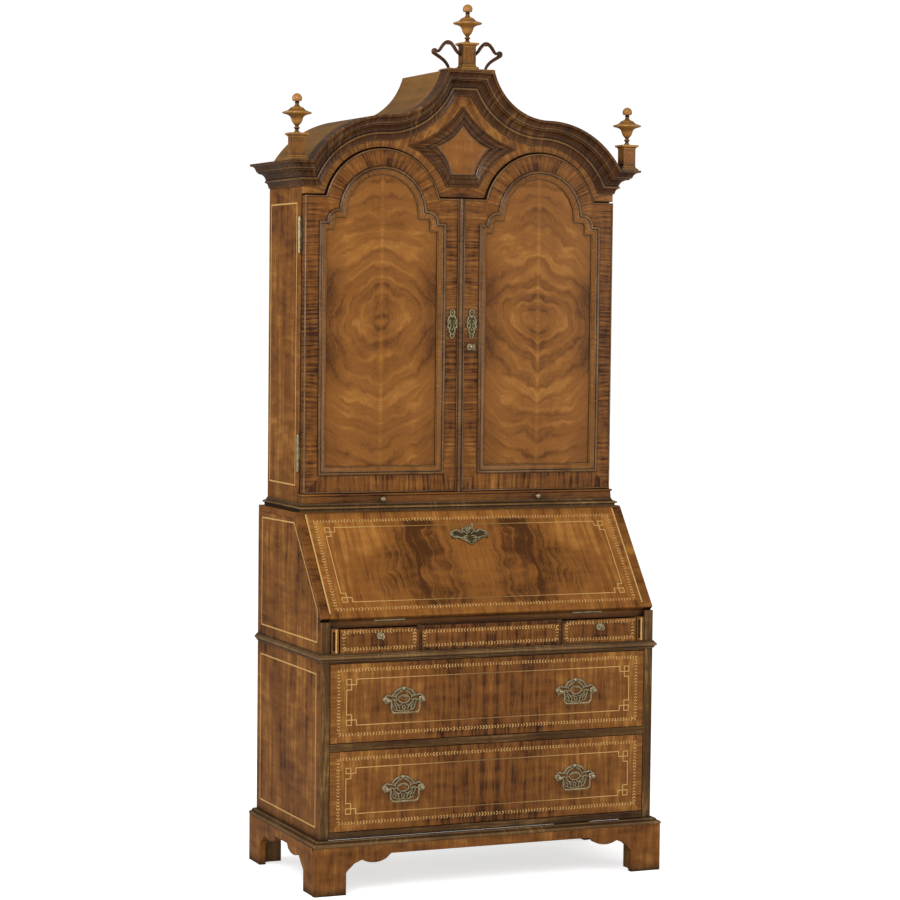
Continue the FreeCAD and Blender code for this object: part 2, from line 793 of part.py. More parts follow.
def hinge_hollow(x):
    """The round hollow that a fall hinge's knuckles lie in."""
    length = size.fall_hinge_length + 2 * size.fall_clearance
    return Part.makeCylinder(
        size.fall_knuckle_radius + size.fall_clearance, length, V(x - length / 2, hinge_y, hinge_z),
        V(1, 0, 0))


def fixed_fall_leaf(x, gap):
    """The leaf let into the writing board, larger by a gap all round."""
    start = hinge_y + size.fall_clearance
    return Part.makeBox(
        size.fall_hinge_length + 2 * gap, size.fall_leaf_width + gap, size.leaf_thick + gap,
        V(x - size.fall_hinge_length / 2 - gap, start, size.writing_top - size.leaf_thick - gap))


def moving_fall_leaf(x, gap):
    """The leaf let into the fall's inner face, larger by a gap all round."""
    leaf = Part.makeBox(
        size.fall_hinge_length + 2 * gap, size.fall_leaf_width + gap, size.leaf_thick + gap,
        V(x - size.fall_hinge_length / 2 - gap, hinge_along, -size.fall_thick))
    return on_slope(leaf)


def knuckle(x, start, end, bore):
    """A stretch of a fall hinge's barrel between two shares of its length."""
    left = x - size.fall_hinge_length / 2 + start * size.fall_hinge_length
    length = (end - start) * size.fall_hinge_length
    tube = Part.makeCylinder(size.fall_knuckle_radius, length, V(left, hinge_y, hinge_z), V(1, 0, 0))
    return tube.cut(Part.makeCylinder(bore, length, V(left, hinge_y, hinge_z), V(1, 0, 0)))


def fall_hinge_pieces(x):
    """The fixed leaf with its knuckles, the pin, and the moving leaf, of one hinge."""
    pin_radius = size.fall_knuckle_radius / 2
    bore = pin_radius + size.pin_clearance
    knuckle_shares = (0, 0.3, 0.7, 1)
    gap_share = 0.005
    first, second, third, last = knuckle_shares
    fixed_ends = [knuckle(x, first, second, bore), knuckle(x, third, last, bore)]
    pin = Part.makeCylinder(
        pin_radius, size.fall_hinge_length, V(x - size.fall_hinge_length / 2, hinge_y, hinge_z),
        V(1, 0, 0))
    middle = knuckle(x, second + gap_share, third - gap_share, bore)
    hollow = hinge_hollow(x)
    fixed_leaf = fixed_fall_leaf(x, 0).cut(hollow)
    moving_leaf = moving_fall_leaf(x, 0).cut(hollow)
    return fixed_ends + [fixed_leaf, pin], [middle, moving_leaf]


def fall():
    """The sloping fall with its lock plate and the moving halves of its hinges."""
    half = inner_half - size.fall_gap
    plain = Part.makeBox(
        2 * half, size.fall_end - hinge_along, size.fall_thick,
        V(-half, hinge_along, -size.fall_thick))
    hole = Part.makeCylinder(
        size.shank_radius + size.pin_clearance, size.fall_thick, V(0, size.fall_key_s, 0),
        V(0, 0, -1))
    plain = on_slope(plain.cut(hole))
    for side in (-1, 1):
        x = side * size.fall_hinge_x
        plain = plain.cut(hinge_hollow(x)).cut(moving_fall_leaf(x, size.pin_clearance))
    part("fall_board", shaped("fall_board", plain))
    brass = [fall_plate()]
    for side in (-1, 1):
        brass += fall_hinge_pieces(side * size.fall_hinge_x)[1]
    part("fall_brass", shaped("fall_brass", *brass))


def fall_plate():
    """The pierced lock plate in the middle of the fall."""
    points = [
        (a * size.fall_plate_half, size.fall_plate_s + b * size.fall_plate_height)
        for a, b in mirrored_outline(FALL_PLATE_SHARES)]
    plate = polygon_slab(level(0), points, V(0, 0, size.lock_plate_thick))
    hole = Part.makeCylinder(
        size.shank_radius + size.pin_clearance, size.lock_plate_thick, V(0, size.fall_key_s, 0))
    return on_slope(plate.cut(hole))


def fall_key():
    """The key in the fall's lock."""
    shape = key_shape(size.fall_key_reach, size.key_depth)
    shape.rotate(V(0, 0, 0), V(1, 0, 0), -90)
    shape.translate(V(0, size.fall_key_s, 0))
    part("fall_key", shaped("fall_key", on_slope(shape)))


# Desk interior
def gallery():
    """Pigeonholes over a row of open bays and two small drawers."""
    bays = 5
    half = "(case_width/2 - side_thick)"
    deep = ("gallery_front", "case_depth - back_thick")
    top = "(bureau_top_low - gallery_board)"
    pitch = f"(2*{half} - gallery_board)/{bays}"
    boards = [board("gallery_top", ("-" + half, half), deep, (top, "bureau_top_low"))]
    for index in range(bays + 1):
        left = f"-{half} + {index}*{pitch}"
        boards.append(board(
            f"gallery_upright_{index}", (left, left + " + gallery_board"), deep, ("writing_top", top)))
    for index in range(bays):
        left = f"-{half} + {index}*{pitch} + gallery_board"
        right = f"-{half} + {index + 1}*{pitch}"
        boards.append(board(
            f"gallery_shelf_{index}", (left, right), deep,
            ("gallery_shelf_z", "gallery_shelf_z + gallery_board")))
    part("pigeonholes", *boards)
    for index, word in ((1, "left"), (3, "right")):
        name = f"gallery_drawer_{word}"
        left = f"-{half} + {index}*{pitch} + gallery_board + gallery_gap"
        right = f"-{half} + {index + 1}*{pitch} - gallery_gap"
        low = "writing_top + box_lift"
        high = "gallery_shelf_z - gallery_gap"
        front_end = "gallery_front + gallery_board"
        face = board(f"{name}_front", (left, right), ("gallery_front", front_end), (low, high))
        box = open_box(
            name, (left, right), (front_end, "gallery_drawer_end"), (low, high),
            "gallery_board", "gallery_floor")
        bay = (2 * inner_half - size.gallery_board) / bays
        middle = -inner_half + (index + 0.5) * bay + size.gallery_board / 2
        height = (size.writing_top + size.gallery_shelf_z) / 2
        pull = knob(
            middle, size.gallery_front, height, size.gallery_knob_radius, 2 * size.gallery_knob_radius)
        part(name, face, shaped(f"{name}_knob", pull), *box)


# Upper case
def upper_sides():
    """The side boards of the upper case, stepped forward above the doors."""
    roof_low = size.cornice_low + size.cornice_height - size.roof_thick
    step_z = size.door_shoulder + size.door_top_gap
    tympanum_back = size.tympanum_front + size.tympanum_thick
    outline = [
        (size.upper_side_front, size.bureau_top), (size.upper_side_front, step_z),
        (tympanum_back, step_z), (tympanum_back, roof_low), (size.case_depth, roof_low),
        (size.case_depth, size.bureau_top)]
    for name, x in (("upper_side_left", -upper_half), ("upper_side_right", upper_inner)):
        part(name, shaped(
            name, polygon_slab(sideways(x), outline, V(size.upper_side_thick, 0, 0))))


def upper_boards():
    """The bottom, the frieze blocks between the slides, the cupboard's floor and shelves."""
    wide = ("-upper_width/2", "upper_width/2")
    inside = ("-upper_width/2 + upper_side_thick", "upper_width/2 - upper_side_thick")
    head = ("frieze_front", "upper_side_front")
    deep = ("upper_side_front", "case_depth - back_thick")
    low = ("bureau_top", "frieze_low")
    middle = ("frieze_low", "frieze_top")
    high = ("frieze_top", "cupboard_floor")
    blocks = [
        board("upper_bottom_rail", wide, head, low),
        board("upper_bottom_board", inside, deep, low),
        board("frieze_middle", ("-slide_inner", "slide_inner"), (head[0], deep[1]), middle)]
    for side, word in ((-1, "left"), (1, "right")):
        blocks.append(board(
            f"frieze_end_{word}", sided(side, "slide_outer", "upper_width/2"), head, middle))
        blocks.append(board(
            f"slide_guide_{word}", sided(side, "slide_outer", "upper_width/2 - upper_side_thick"),
            deep, middle))
    part("upper_base", *blocks)
    part(
        "cupboard_boards",
        board("frieze_bead", ("-upper_width/2 - bead_out", "upper_width/2 + bead_out"),
              ("frieze_front - bead_out", "upper_side_front"), high),
        board("cupboard_floor_board", inside, deep, high),
        board("lower_shelf", inside, ("shelf_front", deep[1]),
              ("lower_shelf_z", "lower_shelf_z + shelf_thick")),
        board("upper_shelf", inside, ("shelf_front", deep[1]),
              ("upper_shelf_z", "upper_shelf_z + shelf_thick")))
    part("upper_base_moulding", shaped("upper_base_moulding", *mitred_frame(
        UPPER_MOULD_SHARES, size.upper_mould_out, size.bureau_top,
        size.frieze_low - size.bureau_top, upper_half, size.frieze_front)))


def candle_slides():
    """The two pull-out candle slides, each a board with an edged lip and a knob."""
    for side, word in ((-1, "left"), (1, "right")):
        name = f"candle_slide_{word}"
        x = sided(side, "slide_inner + slide_gap", "slide_outer - slide_gap")
        lip = board(
            f"{name}_lip", x, ("frieze_front", "frieze_front + slide_lip"),
            ("frieze_low + slide_gap", "frieze_top - slide_gap"))
        leaf = board(
            f"{name}_board", x, ("frieze_front + slide_lip", "slide_end"),
            ("frieze_low + slide_gap", "frieze_low + slide_gap + slide_board"))
        height = (size.frieze_low + size.frieze_top) / 2
        pull = knob(
            side * size.slide_knob_x, size.frieze_front, height, size.knob_radius, size.knob_length)
        part(name, lip, leaf, shaped(f"{name}_knob", pull))


# Doors
def arch_start(radius, rise):
    """How far from its middle an arch meets the level that is rise above its centre."""
    return math.sqrt(radius * radius - rise * rise)


def door_outline(side, inset):
    """A door's outline, drawn in from its edge by an inset."""
    outer = side * (upper_half - size.door_edge_gap - inset)
    if side > 0:
        inner = size.door_meeting + size.door_gap / 2 + inset
    else:
        inner = size.door_meeting - size.door_gap / 2 - inset
    low = size.cupboard_floor + size.door_low_gap + inset
    shoulder = size.door_shoulder - inset
    radius = size.door_arch_radius - inset
    reach = arch_start(radius, shoulder - size.door_arch_z)
    middle = side * size.arch_x
    start = (inner, low)
    steps = [
        (outer, low), (outer, shoulder), (middle + side * reach, shoulder),
        ((middle, size.door_arch_z + radius), (middle - side * reach, shoulder)),
        (inner, shoulder)]
    return start, steps


def panel_outline(side, inset):
    """The eared and arched outline of a door's panel, drawn in by an inset."""
    middle = side * size.arch_x
    half = size.panel_opening_half - inset
    low = size.panel_opening_low + inset
    shoulder = size.panel_shoulder - inset
    ear = size.ear_half - inset
    ear_top = size.ear_top - inset
    radius = size.panel_arch_radius - inset
    ear_radius = ear_top - size.panel_shoulder
    rise = max(ear_top - size.panel_arch_z, 0)
    arch = arch_start(radius, rise)
    bend = ear_radius * math.sqrt(0.5)
    turn = ear - ear_radius
    springing = size.panel_arch_z + rise

    def half_steps(way):
        return [
            (middle + way * half, low), (middle + way * half, shoulder),
            (middle + way * ear, shoulder), (middle + way * ear, size.panel_shoulder),
            ((middle + way * (turn + bend), size.panel_shoulder + bend),
             (middle + way * turn, ear_top)),
            (middle + way * arch, ear_top), (middle + way * arch, springing)]

    left = half_steps(-1)
    right = half_steps(1)
    steps = left[1:] + [((middle, size.panel_arch_z + radius), right[-1]), right[-2]]
    steps += [(middle + turn, ear_top), (right[4][0], right[3]), right[2], right[1], right[0]]
    return left[0], steps


def outlined(outline, y, thick):
    """A slab of an outline's shape, from the plane at y backwards."""
    start, steps = outline
    return slab(upright(y), start, steps, V(0, thick, 0))


def door(side, word):
    """A door: frame, panel, mouldings and brass, each a piece of its own."""
    over = size.overrun
    frame = outlined(door_outline(side, 0), size.door_front, size.door_thick)
    opening = outlined(panel_outline(side, 0), size.door_front - over, size.door_thick + 2 * over)
    frame = frame.cut(opening)
    if side > 0:
        frame = frame.cut(key_hole(size.door_key_x, size.door_front, size.door_key_z, size.key_depth))
    part(f"door_{word}_frame", shaped(f"door_{word}_frame", frame))
    panel_y = size.door_front + size.panel_inset
    part(f"door_{word}_panel", shaped(
        f"door_{word}_panel", outlined(panel_outline(side, 0), panel_y, size.door_panel_thick)))
    part(f"door_{word}_mouldings", shaped(f"door_{word}_mouldings", *door_mouldings(side)))
    part(f"door_{word}_brass", shaped(f"door_{word}_brass", *door_brass(side)))


def door_mouldings(side):
    """The moulding round the panel, the bead on the door's edge, and the astragal."""
    y = size.door_front - size.panel_mould_out
    thick = size.panel_mould_out + size.panel_inset
    width = size.panel_mould_width
    high = outlined(panel_outline(side, 0), y, thick).cut(
        outlined(panel_outline(side, width / 2), y - size.overrun, thick + 2 * size.overrun))
    low_y = size.door_front
    low = outlined(panel_outline(side, width / 2), low_y, size.panel_inset).cut(
        outlined(panel_outline(side, width), low_y - size.overrun, thick + 2 * size.overrun))
    bead_y = size.door_front - size.edge_bead_out
    bead = outlined(door_outline(side, 0), bead_y, size.edge_bead_out).cut(outlined(
        door_outline(side, size.edge_bead), bead_y - size.overrun, size.edge_bead_out + 2 * size.overrun))
    solids = [high.fuse(low).removeSplitter()]
    if side > 0:
        return solids + [bead]
    edge = size.door_meeting - size.door_gap / 2
    bottom = size.cupboard_floor + size.door_low_gap
    strip = Part.makeBox(
        size.astragal_width, size.astragal_out, size.door_shoulder - bottom,
        V(edge - size.astragal_width, size.door_front - size.astragal_out, bottom))
    return solids + [bead.cut(strip), strip]


def door_brass(side):
    """The escutcheon and the moving hinge leaves, and the lock plate where the key is."""
    centre = (side * size.escutcheon_x, size.escutcheon_z)
    points = [
        (centre[0] + a * size.escutcheon_half, centre[1] + b * size.escutcheon_height)
        for a, b in mirrored_outline(ESCUTCHEON_SHARES)]
    thick = size.lock_plate_thick
    solids = [polygon_slab(upright(size.door_front - thick), points, V(0, thick, 0))]
    if side > 0:
        solids.append(lock_plate(size.door_key_x, size.door_front, size.door_key_z))
    for middle in (size.hinge_low_z, size.hinge_high_z):
        solids.append(door_hinge(side, middle)[1])
    return solids


def barrel(x, y, low, high, radius):
    """An upright round rod between two heights."""
    return Part.makeCylinder(radius, high - low, V(x, y, low))


def door_hinge(side, middle):
    """The fixed leaf with its two knuckles, the moving leaf, and the pin of one hinge."""
    x = side * (upper_half + size.hinge_out)
    y = (door_back + size.upper_side_front) / 2
    low = middle - size.hinge_length / 2
    high = middle + size.hinge_length / 2
    middle_knuckle_share = 1 / 3
    knuckle_half = size.hinge_length * middle_knuckle_share / 2
    gap = size.knuckle_gap
    bore = barrel(x, y, low, high, size.hinge_pin_radius + size.pin_clearance)
    leaf_end = upper_half - size.leaf_thick / 2
    left = min(side * leaf_end, side * (leaf_end - size.leaf_width))
    neck = min(side * leaf_end, x)
    neck_width = abs(x - side * leaf_end)
    leaf = size.leaf_thick

    def neck_box(start_y, bottom, top):
        return Part.makeBox(neck_width, leaf, top - bottom, V(neck, start_y, bottom))

    fixed_y = size.upper_side_front - leaf
    fixed = Part.makeBox(size.leaf_width, leaf, size.hinge_length, V(left, fixed_y, low))
    moving = Part.makeBox(size.leaf_width, leaf, size.hinge_length, V(left, door_back, low))
    ends = ((low, middle - knuckle_half), (middle + knuckle_half, high))
    for bottom, top in ends:
        fixed = fixed.fuse([
            barrel(x, y, bottom, top, size.knuckle_radius), neck_box(fixed_y, bottom, top)])
    bottom = middle - knuckle_half + gap
    top = middle + knuckle_half - gap
    moving = moving.fuse([
        barrel(x, y, bottom, top, size.knuckle_radius), neck_box(door_back, bottom, top)])
    pin = barrel(x, y, low - size.hinge_pin_radius, high + size.hinge_pin_radius, size.hinge_pin_radius)
    tips = [Part.makeSphere(size.hinge_tip_radius, V(x, y, end)) for end in (low, high)]
    caps = [
        tips[0].common(barrel(x, y, low - size.knuckle_radius, low, size.knuckle_radius)),
        tips[1].common(barrel(x, y, high, high + size.knuckle_radius, size.knuckle_radius))]
    return fixed.cut(bore), moving.cut(bore), pin.fuse(caps)


def fixed_hinges():
    """The fixed leaves and the pins of the door hinges and the fall hinges."""
    solids = []
    for side in (-1, 1):
        for middle in (size.hinge_low_z, size.hinge_high_z):
            fixed, _, pin = door_hinge(side, middle)
            solids += [fixed, pin]
        solids += fall_hinge_pieces(side * size.fall_hinge_x)[0]
    part("fixed_hinges", shaped("fixed_hinges", *solids))


# Pediment
def ogee(offset, half):
    """The serpentine line at an offset above the cornice's lower edge, left to right."""
    low = size.cornice_low + offset
    convex = size.crest_radius + offset
    concave = size.hollow_radius - offset
    crest = size.crest_z + convex
    upper_centre = size.crest_z + size.crest_radius + size.hollow_radius
    top = size.platform_low + offset
    foot_x = size.arch_x + arch_start(convex, low - size.crest_z)
    head_x = size.arch_x - arch_start(concave, upper_centre - top)
    foot_angle = math.atan2(low - size.crest_z, foot_x - size.arch_x)
    head_angle = math.atan2(top - upper_centre, head_x - size.arch_x)
    convex_mid = on_circle((size.arch_x, size.crest_z), convex, (foot_angle + math.pi / 2) / 2)
    concave_mid = on_circle((size.arch_x, upper_centre), concave, (head_angle - math.pi / 2) / 2)
    right = [
        (head_x, top), (concave_mid, (size.arch_x, crest)), (convex_mid, (foot_x, low)), (half, low)]
    start = (-half, low)
    left = [
        (-foot_x, low), ((-convex_mid[0], convex_mid[1]), (-size.arch_x, crest)),
        ((-concave_mid[0], concave_mid[1]), (-head_x, top))]
    return start, left + right


def backwards(start, steps):
    """The same run of edges from its end to its start."""
    ends = [start] + [step[1] if isinstance(step[0], tuple) else step for step in steps]
    turned_steps = []
    for index in range(len(steps) - 1, -1, -1):
        step = steps[index]
        middle = step[0] if isinstance(step[0], tuple) else None
        turned_steps.append((middle, ends[index]) if middle else ends[index])
    return ends[-1], turned_steps


def roof_line():
    """The offset of the underside of the roof boards."""
    return size.cornice_height - size.roof_thick


def ogee_band(lower, upper, half, y, thick):
    """A slab between two offsets of the serpentine line."""
    start, steps = ogee(upper, half)
    end, returning = backwards(*ogee(lower, half))
    return slab(upright(y), start, steps + [end] + returning, V(0, thick, 0))


def tympanum():
    """The arched board over the doors."""
    low = size.door_shoulder + size.door_top_gap
    radius = size.door_arch_radius + size.door_top_gap
    reach = arch_start(radius, low - size.door_arch_z)
    start, steps = ogee(roof_line(), upper_half)
    crown = size.door_arch_z + radius
    steps = steps + [(upper_half, low)]
    for middle in (size.arch_x, -size.arch_x):
        steps += [(middle + reach, low), ((middle, crown), (middle - reach, low))]
    steps.append((-upper_half, low))
    part("tympanum", shaped(
        "tympanum", slab(upright(size.tympanum_front), start, steps, V(0, size.tympanum_thick, 0))))


def upper_back():
    """The back board, which follows the roof."""
    start, steps = ogee(roof_line(), upper_inner)
    steps = steps + [(upper_inner, size.bureau_top), (-upper_inner, size.bureau_top)]
    part("upper_back", shaped(
        "upper_back", slab(upright(back_y), start, steps, V(0, size.back_thick, 0))))


def roof_shell():
    """The roof boards, bent to the serpentine line behind the cornice."""
    depth = size.case_depth - size.tympanum_front
    part("roof_shell", shaped("roof_shell", ogee_band(
        roof_line(), size.cornice_height, upper_half, size.tympanum_front, depth)))


def cornice():
    """The serpentine front cornice, built in steps, and its two returns."""
    levels = sorted({up for _, up in CORNICE_SHARES})
    layers = []
    for lower, upper in zip(levels, levels[1:]):
        outs = [out for out, up in CORNICE_SHARES if lower <= up <= upper and out > 0]
        reach = size.cornice_out * (sum(outs) / len(outs))
        half = upper_half + reach
        layer = ogee_band(
            lower * size.cornice_height, upper * size.cornice_height, half,
            size.tympanum_front - reach, reach)
        corners = [
            (-upper_half, size.tympanum_front), (-half, size.tympanum_front - reach),
            (half, size.tympanum_front - reach), (upper_half, size.tympanum_front)]
        whole = V(0, 0, size.platform_low + size.cornice_height - size.cornice_low)
        layers.append(layer.common(polygon_slab(level(size.cornice_low), corners, whole)))
    front_length = layers[0].fuse(layers[1:]).removeSplitter()
    returns = mitred_frame(
        CORNICE_SHARES, size.cornice_out, size.cornice_low, size.cornice_height, upper_half,
        size.tympanum_front)[1:]
    part("cornice", shaped("cornice", front_length, *returns))


def kite():
    """The kite-shaped moulded frame on the tympanum and its raised panel."""
    def outline(top, half, side_z, foot_half, low):
        (upper_out, upper_up), (lower_out, lower_up) = KITE_BEND_SHARES
        upper = (half * upper_out, side_z + (top - side_z) * upper_up)
        lower = (foot_half + (half - foot_half) * lower_out, low + (side_z - low) * lower_up)
        start = (0, top)
        steps = [
            (upper, (half, side_z)), (lower, (foot_half, low)), (-foot_half, low),
            ((-lower[0], lower[1]), (-half, side_z)), ((-upper[0], upper[1]), (0, top))]
        edges = run_of_edges(upright(0), start, steps)
        return Part.Face(Part.Wire(edges))

    outer = outline(
        size.kite_top, size.kite_half, size.kite_side_z, size.kite_foot_half, size.kite_low)
    inner = outline(
        size.kite_inner_top, size.kite_inner_half, size.kite_inner_side_z,
        size.kite_inner_foot_half, size.kite_inner_low)
    frame = outer.cut(inner).extrude(V(0, size.kite_out, 0))
    frame.translate(V(0, size.tympanum_front - size.kite_out, 0))
    panel = inner.extrude(V(0, size.kite_panel_out, 0))
    panel.translate(V(0, size.tympanum_front - size.kite_panel_out, 0))
    part("kite_frame", shaped("kite_frame", frame, panel))


def finial_places():
    """The x and the standing height of the three plinths."""
    corner = size.cornice_low + size.cornice_height
    middle = size.platform_low + size.cornice_height + size.platform_thick
    return ((-size.plinth_x, corner), (0, middle), (size.plinth_x, corner))


def square_block(x, low, width, height):
    """A square block on the plinth line."""
    return Part.makeBox(
        width, width, height, V(x - width / 2, size.plinth_y - width / 2, low))


def plinths():
    """Three square plinths, and the platform under the middle one."""
    cap = size.plinth_cap_high
    solids = []
    for x, low in finial_places():
        base = square_block(x, low, size.plinth_cap, cap)
        body = square_block(x, low + cap, size.plinth_body, size.plinth_high - 2 * cap)
        head = square_block(x, low + size.plinth_high - cap, size.plinth_cap, cap)
        solids.append(base.fuse([body, head]))
    solids.append(Part.makeBox(
        2 * size.platform_half, size.platform_depth, size.platform_thick,
        V(-size.platform_half, size.plinth_y - size.platform_depth / 2,
          size.platform_low + size.cornice_height)))
    part("finial_plinths", shaped("finial_plinths", *solids))


def finials():
    """Three turned finials: a covered cup with a ball on top."""
    solids = []
    for x, low in finial_places():
        cup = turned(FINIAL_SHARES, size.finial_rim, size.finial_height)
        ball = Part.makeSphere(
            size.finial_ball, V(0, 0, size.finial_height - size.finial_ball / 2))
        finial = cup.fuse(ball)
        finial.translate(V(x, size.plinth_y, low + size.plinth_high))
        solids.append(finial)
    part("finials", shaped("finials", *solids))


def scrolls():
    """The two fretted scrolls beside the middle plinth."""
    low = size.platform_low + size.cornice_height + size.platform_thick
    width = size.scroll_half_width
    solids = []
    for side in (-1, 1):
        foot = (size.scroll_foot_x, low)
        knob_place = (size.scroll_knob_x, low + size.scroll_knob_rise)
        peak = (size.scroll_peak_x, low + size.scroll_peak_rise)
        end = (size.plinth_body / 2, low + size.scroll_end_rise)
        bar = None
        for first, second in ((foot, knob_place), (knob_place, peak), (peak, end)):
            length = math.dist(first, second)
            strip = Part.makeBox(length, size.scroll_thick, 2 * width, V(0, 0, -width))
            rise = math.degrees(math.atan2(second[1] - first[1], second[0] - first[0]))
            strip.rotate(V(0, 0, 0), V(0, 1, 0), -rise)
            strip.translate(V(first[0], size.plinth_y - size.scroll_thick / 2, first[1]))
            bar = strip if bar is None else bar.fuse(strip)
        for spot, radius in ((knob_place, size.scroll_knob_radius), (peak, width)):
            bar = bar.fuse(Part.makeCylinder(
                radius, size.scroll_thick, V(spot[0], size.plinth_y - size.scroll_thick / 2, spot[1]),
                V(0, 1, 0)))
        room = Part.makeBox(
            size.platform_half * 2, size.scroll_thick, size.plinth_high,
            V(size.plinth_body / 2, size.plinth_y - size.scroll_thick / 2, low))
        bar = bar.common(room).removeSplitter()
        solids.append(bar if side > 0 else bar.mirror(V(0, 0, 0), V(1, 0, 0)))
    part("scrolls", shaped("scrolls", *solids))


def build():
    """Every sub-part, from the floor up."""
    lower_sides()
    lower_boards()
    writing_board()
    bureau_top()
    small_row()
    skirt()
    foot_blocks()
    case_mouldings()
    long_drawer("upper_drawer", "upper_opening_low", "upper_opening_top", size.upper_handle_z)
    long_drawer("lower_drawer", "bottom_top", "lower_opening_top", size.lower_handle_z)
    for row, height in (("upper", size.upper_handle_z), ("lower", size.lower_handle_z)):
        for side, word in ((-1, "left"), (1, "right")):
            bail(f"{row}_bail_{word}", side * size.handle_x, height)
    for side, word in ((-1, "left"), (1, "right")):
        small_drawer(side, word)
        placed_key(
            f"small_drawer_key_{word}", side * size.small_key_x, 0, size.small_key_z, size.key_reach)
    lopers()
    fall()
    fall_key()
    gallery()
    upper_sides()
    upper_boards()
    candle_slides()
    door(-1, "left")
    door(1, "right")
    placed_key(
        "door_key", size.door_key_x, size.door_front, size.door_key_z, size.door_key_reach)
    fixed_hinges()
    tympanum()
    upper_back()
    roof_shell()
    cornice()
    kite()
    plinths()
    finials()
    scrolls()


def check_and_write():
    """Stop on any failed object or unsound shape, then write one file for each sub-part."""
    doc.recompute()
    for item in doc.Objects:
        if {"Invalid", "Error"} & set(item.State):
            raise RuntimeError(f"{item.Label} failed: {item.State}")
    os.makedirs("parts", exist_ok=True)
    for item in parts:
        if item.Shape.isNull() or not item.Shape.isValid() or not item.Shape.Solids:
            raise RuntimeError(f"{item.Label} has no sound solid")
        item.Shape.exportStep(f"parts/{item.Label}.step")
    print(len(parts), "sub-parts written")


build()
check_and_write()
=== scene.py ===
"""The looks of a double-domed walnut writing bureau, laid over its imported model.

Outlines are drawn in millimetres, with y counted from the lower case's front plane. They are
moved into the frame, and to metres, where a mesh is made.
"""
import json
import math

import bmesh
import bpy
from mathutils import Matrix, Vector


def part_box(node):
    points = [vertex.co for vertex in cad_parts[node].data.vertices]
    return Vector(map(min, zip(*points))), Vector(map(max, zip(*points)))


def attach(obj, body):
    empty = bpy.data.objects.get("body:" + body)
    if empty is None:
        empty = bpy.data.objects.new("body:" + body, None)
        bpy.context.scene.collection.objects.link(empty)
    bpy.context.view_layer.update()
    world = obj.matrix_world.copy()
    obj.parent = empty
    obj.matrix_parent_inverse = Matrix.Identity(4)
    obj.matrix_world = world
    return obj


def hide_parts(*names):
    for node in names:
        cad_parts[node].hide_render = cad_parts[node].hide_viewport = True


bl_info = {
    "name": "Writing bureau",
    "version": (1, 0, 0),
    "blender": (4, 5, 0),
    "location": "3D View > Sidebar > Bureau",
    "description": "Builds the veneers, mouldings, inlays and brass of a writing bureau",
    "category": "Object",
}

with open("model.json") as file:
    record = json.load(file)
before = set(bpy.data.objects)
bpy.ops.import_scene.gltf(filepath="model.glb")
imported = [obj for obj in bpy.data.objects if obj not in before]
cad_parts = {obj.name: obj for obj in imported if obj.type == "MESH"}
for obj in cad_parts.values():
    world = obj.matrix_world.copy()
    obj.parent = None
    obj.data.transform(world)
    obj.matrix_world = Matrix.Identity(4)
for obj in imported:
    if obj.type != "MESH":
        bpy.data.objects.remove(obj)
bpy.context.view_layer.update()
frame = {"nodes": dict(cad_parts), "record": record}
BODY_OF = {node: body for body, nodes in frame["record"]["behaviour"]["bodies"].items() for node in nodes}

# Sizes in millimetres
MM = 0.001
case_low, case_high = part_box("lower_side_right")
upper_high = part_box("upper_side_right")[1]
FRONT = case_low.y
CASE_HALF = case_high.x / MM
CASE_DEPTH = (case_high.y - case_low.y) / MM
UPPER_HALF = upper_high.x / MM
TYMPANUM_Y = (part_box("tympanum")[0].y - FRONT) / MM
DOOR_Y = (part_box("door_right_frame")[0].y - FRONT) / MM
SLOPE_FOOT = 776
SLOPE_TOP_Y = 225
BUREAU_TOP = 1060
SLOPE = math.atan2(BUREAU_TOP - SLOPE_FOOT, SLOPE_TOP_Y)
CORNICE_LOW = 1994
CORNICE_HIGH = 70
CORNICE_OUT = 62
CREST_X = 250
CREST_Z = 1927
CREST_RADIUS = 204
HOLLOW_RADIUS = 253
PLATFORM_LOW = 2267
ARCH_Z = 1926.5
DOOR_ARCH = 180
DOOR_SHOULDER = 1967
DOOR_LOW = 1111
DOOR_EDGE = 490
DOOR_MEETING = 2.5
DOOR_GAP = 1
PLINTH_X = 524
PLINTH_Y = 222
FLAME_Z = 1608
FLAME_BEND = 1.45
DRAWER_Z = {"upper": 541, "lower": 290}
HANDLE_Z = {"upper": 542, "lower": 290}
HANDLE_X = 270
DRAWER_BAND = (466, 91)
FALL_BAND = (468, 149)
FALL_MIDDLE = 180.75
FALL_BURR_UP = 181
FALL_LINE_MIDDLE = 182
SMALL_DRAWER_X = 345.5
SMALL_DRAWER_Z = 715
SMALL_BAND = (107, 24)
PAST_ENDS = 900
MIDDLE_PANEL_Z = 712.5
MIDDLE_BAND = (208, 20)
SMALL_LOCK = (344, 726)
DOOR_LOCK = (26, 1535)
DOOR_PLATE = (31, 1602)
FALL_PLATE_UP = 269
FALL_LOCK_UP = 283
FEATHER_UNEVEN_SHARE = 0.35
ARC_STEPS = 14
MERGE = 0.000002


def shade(red, green, blue):
    """A colour from its three display values out of 255."""
    def straight(value):
        share = value / 255
        return share / 12.92 if share <= 0.04045 else ((share + 0.055) / 1.055) ** 2.4
    return (straight(red), straight(green), straight(blue), 1.0)


# What a user would change
def length(words, default):
    """A length in metres with its name and description."""
    return bpy.props.FloatProperty(
        name=words, description=f"The {words.lower()} in metres", default=default, unit="LENGTH")


def colour(words, red, green, blue):
    """A colour with its name and description."""
    return bpy.props.FloatVectorProperty(
        name=words, description=f"The colour of {words.lower()}", subtype="COLOR", size=4,
        min=0.0, max=1.0, default=shade(red, green, blue))


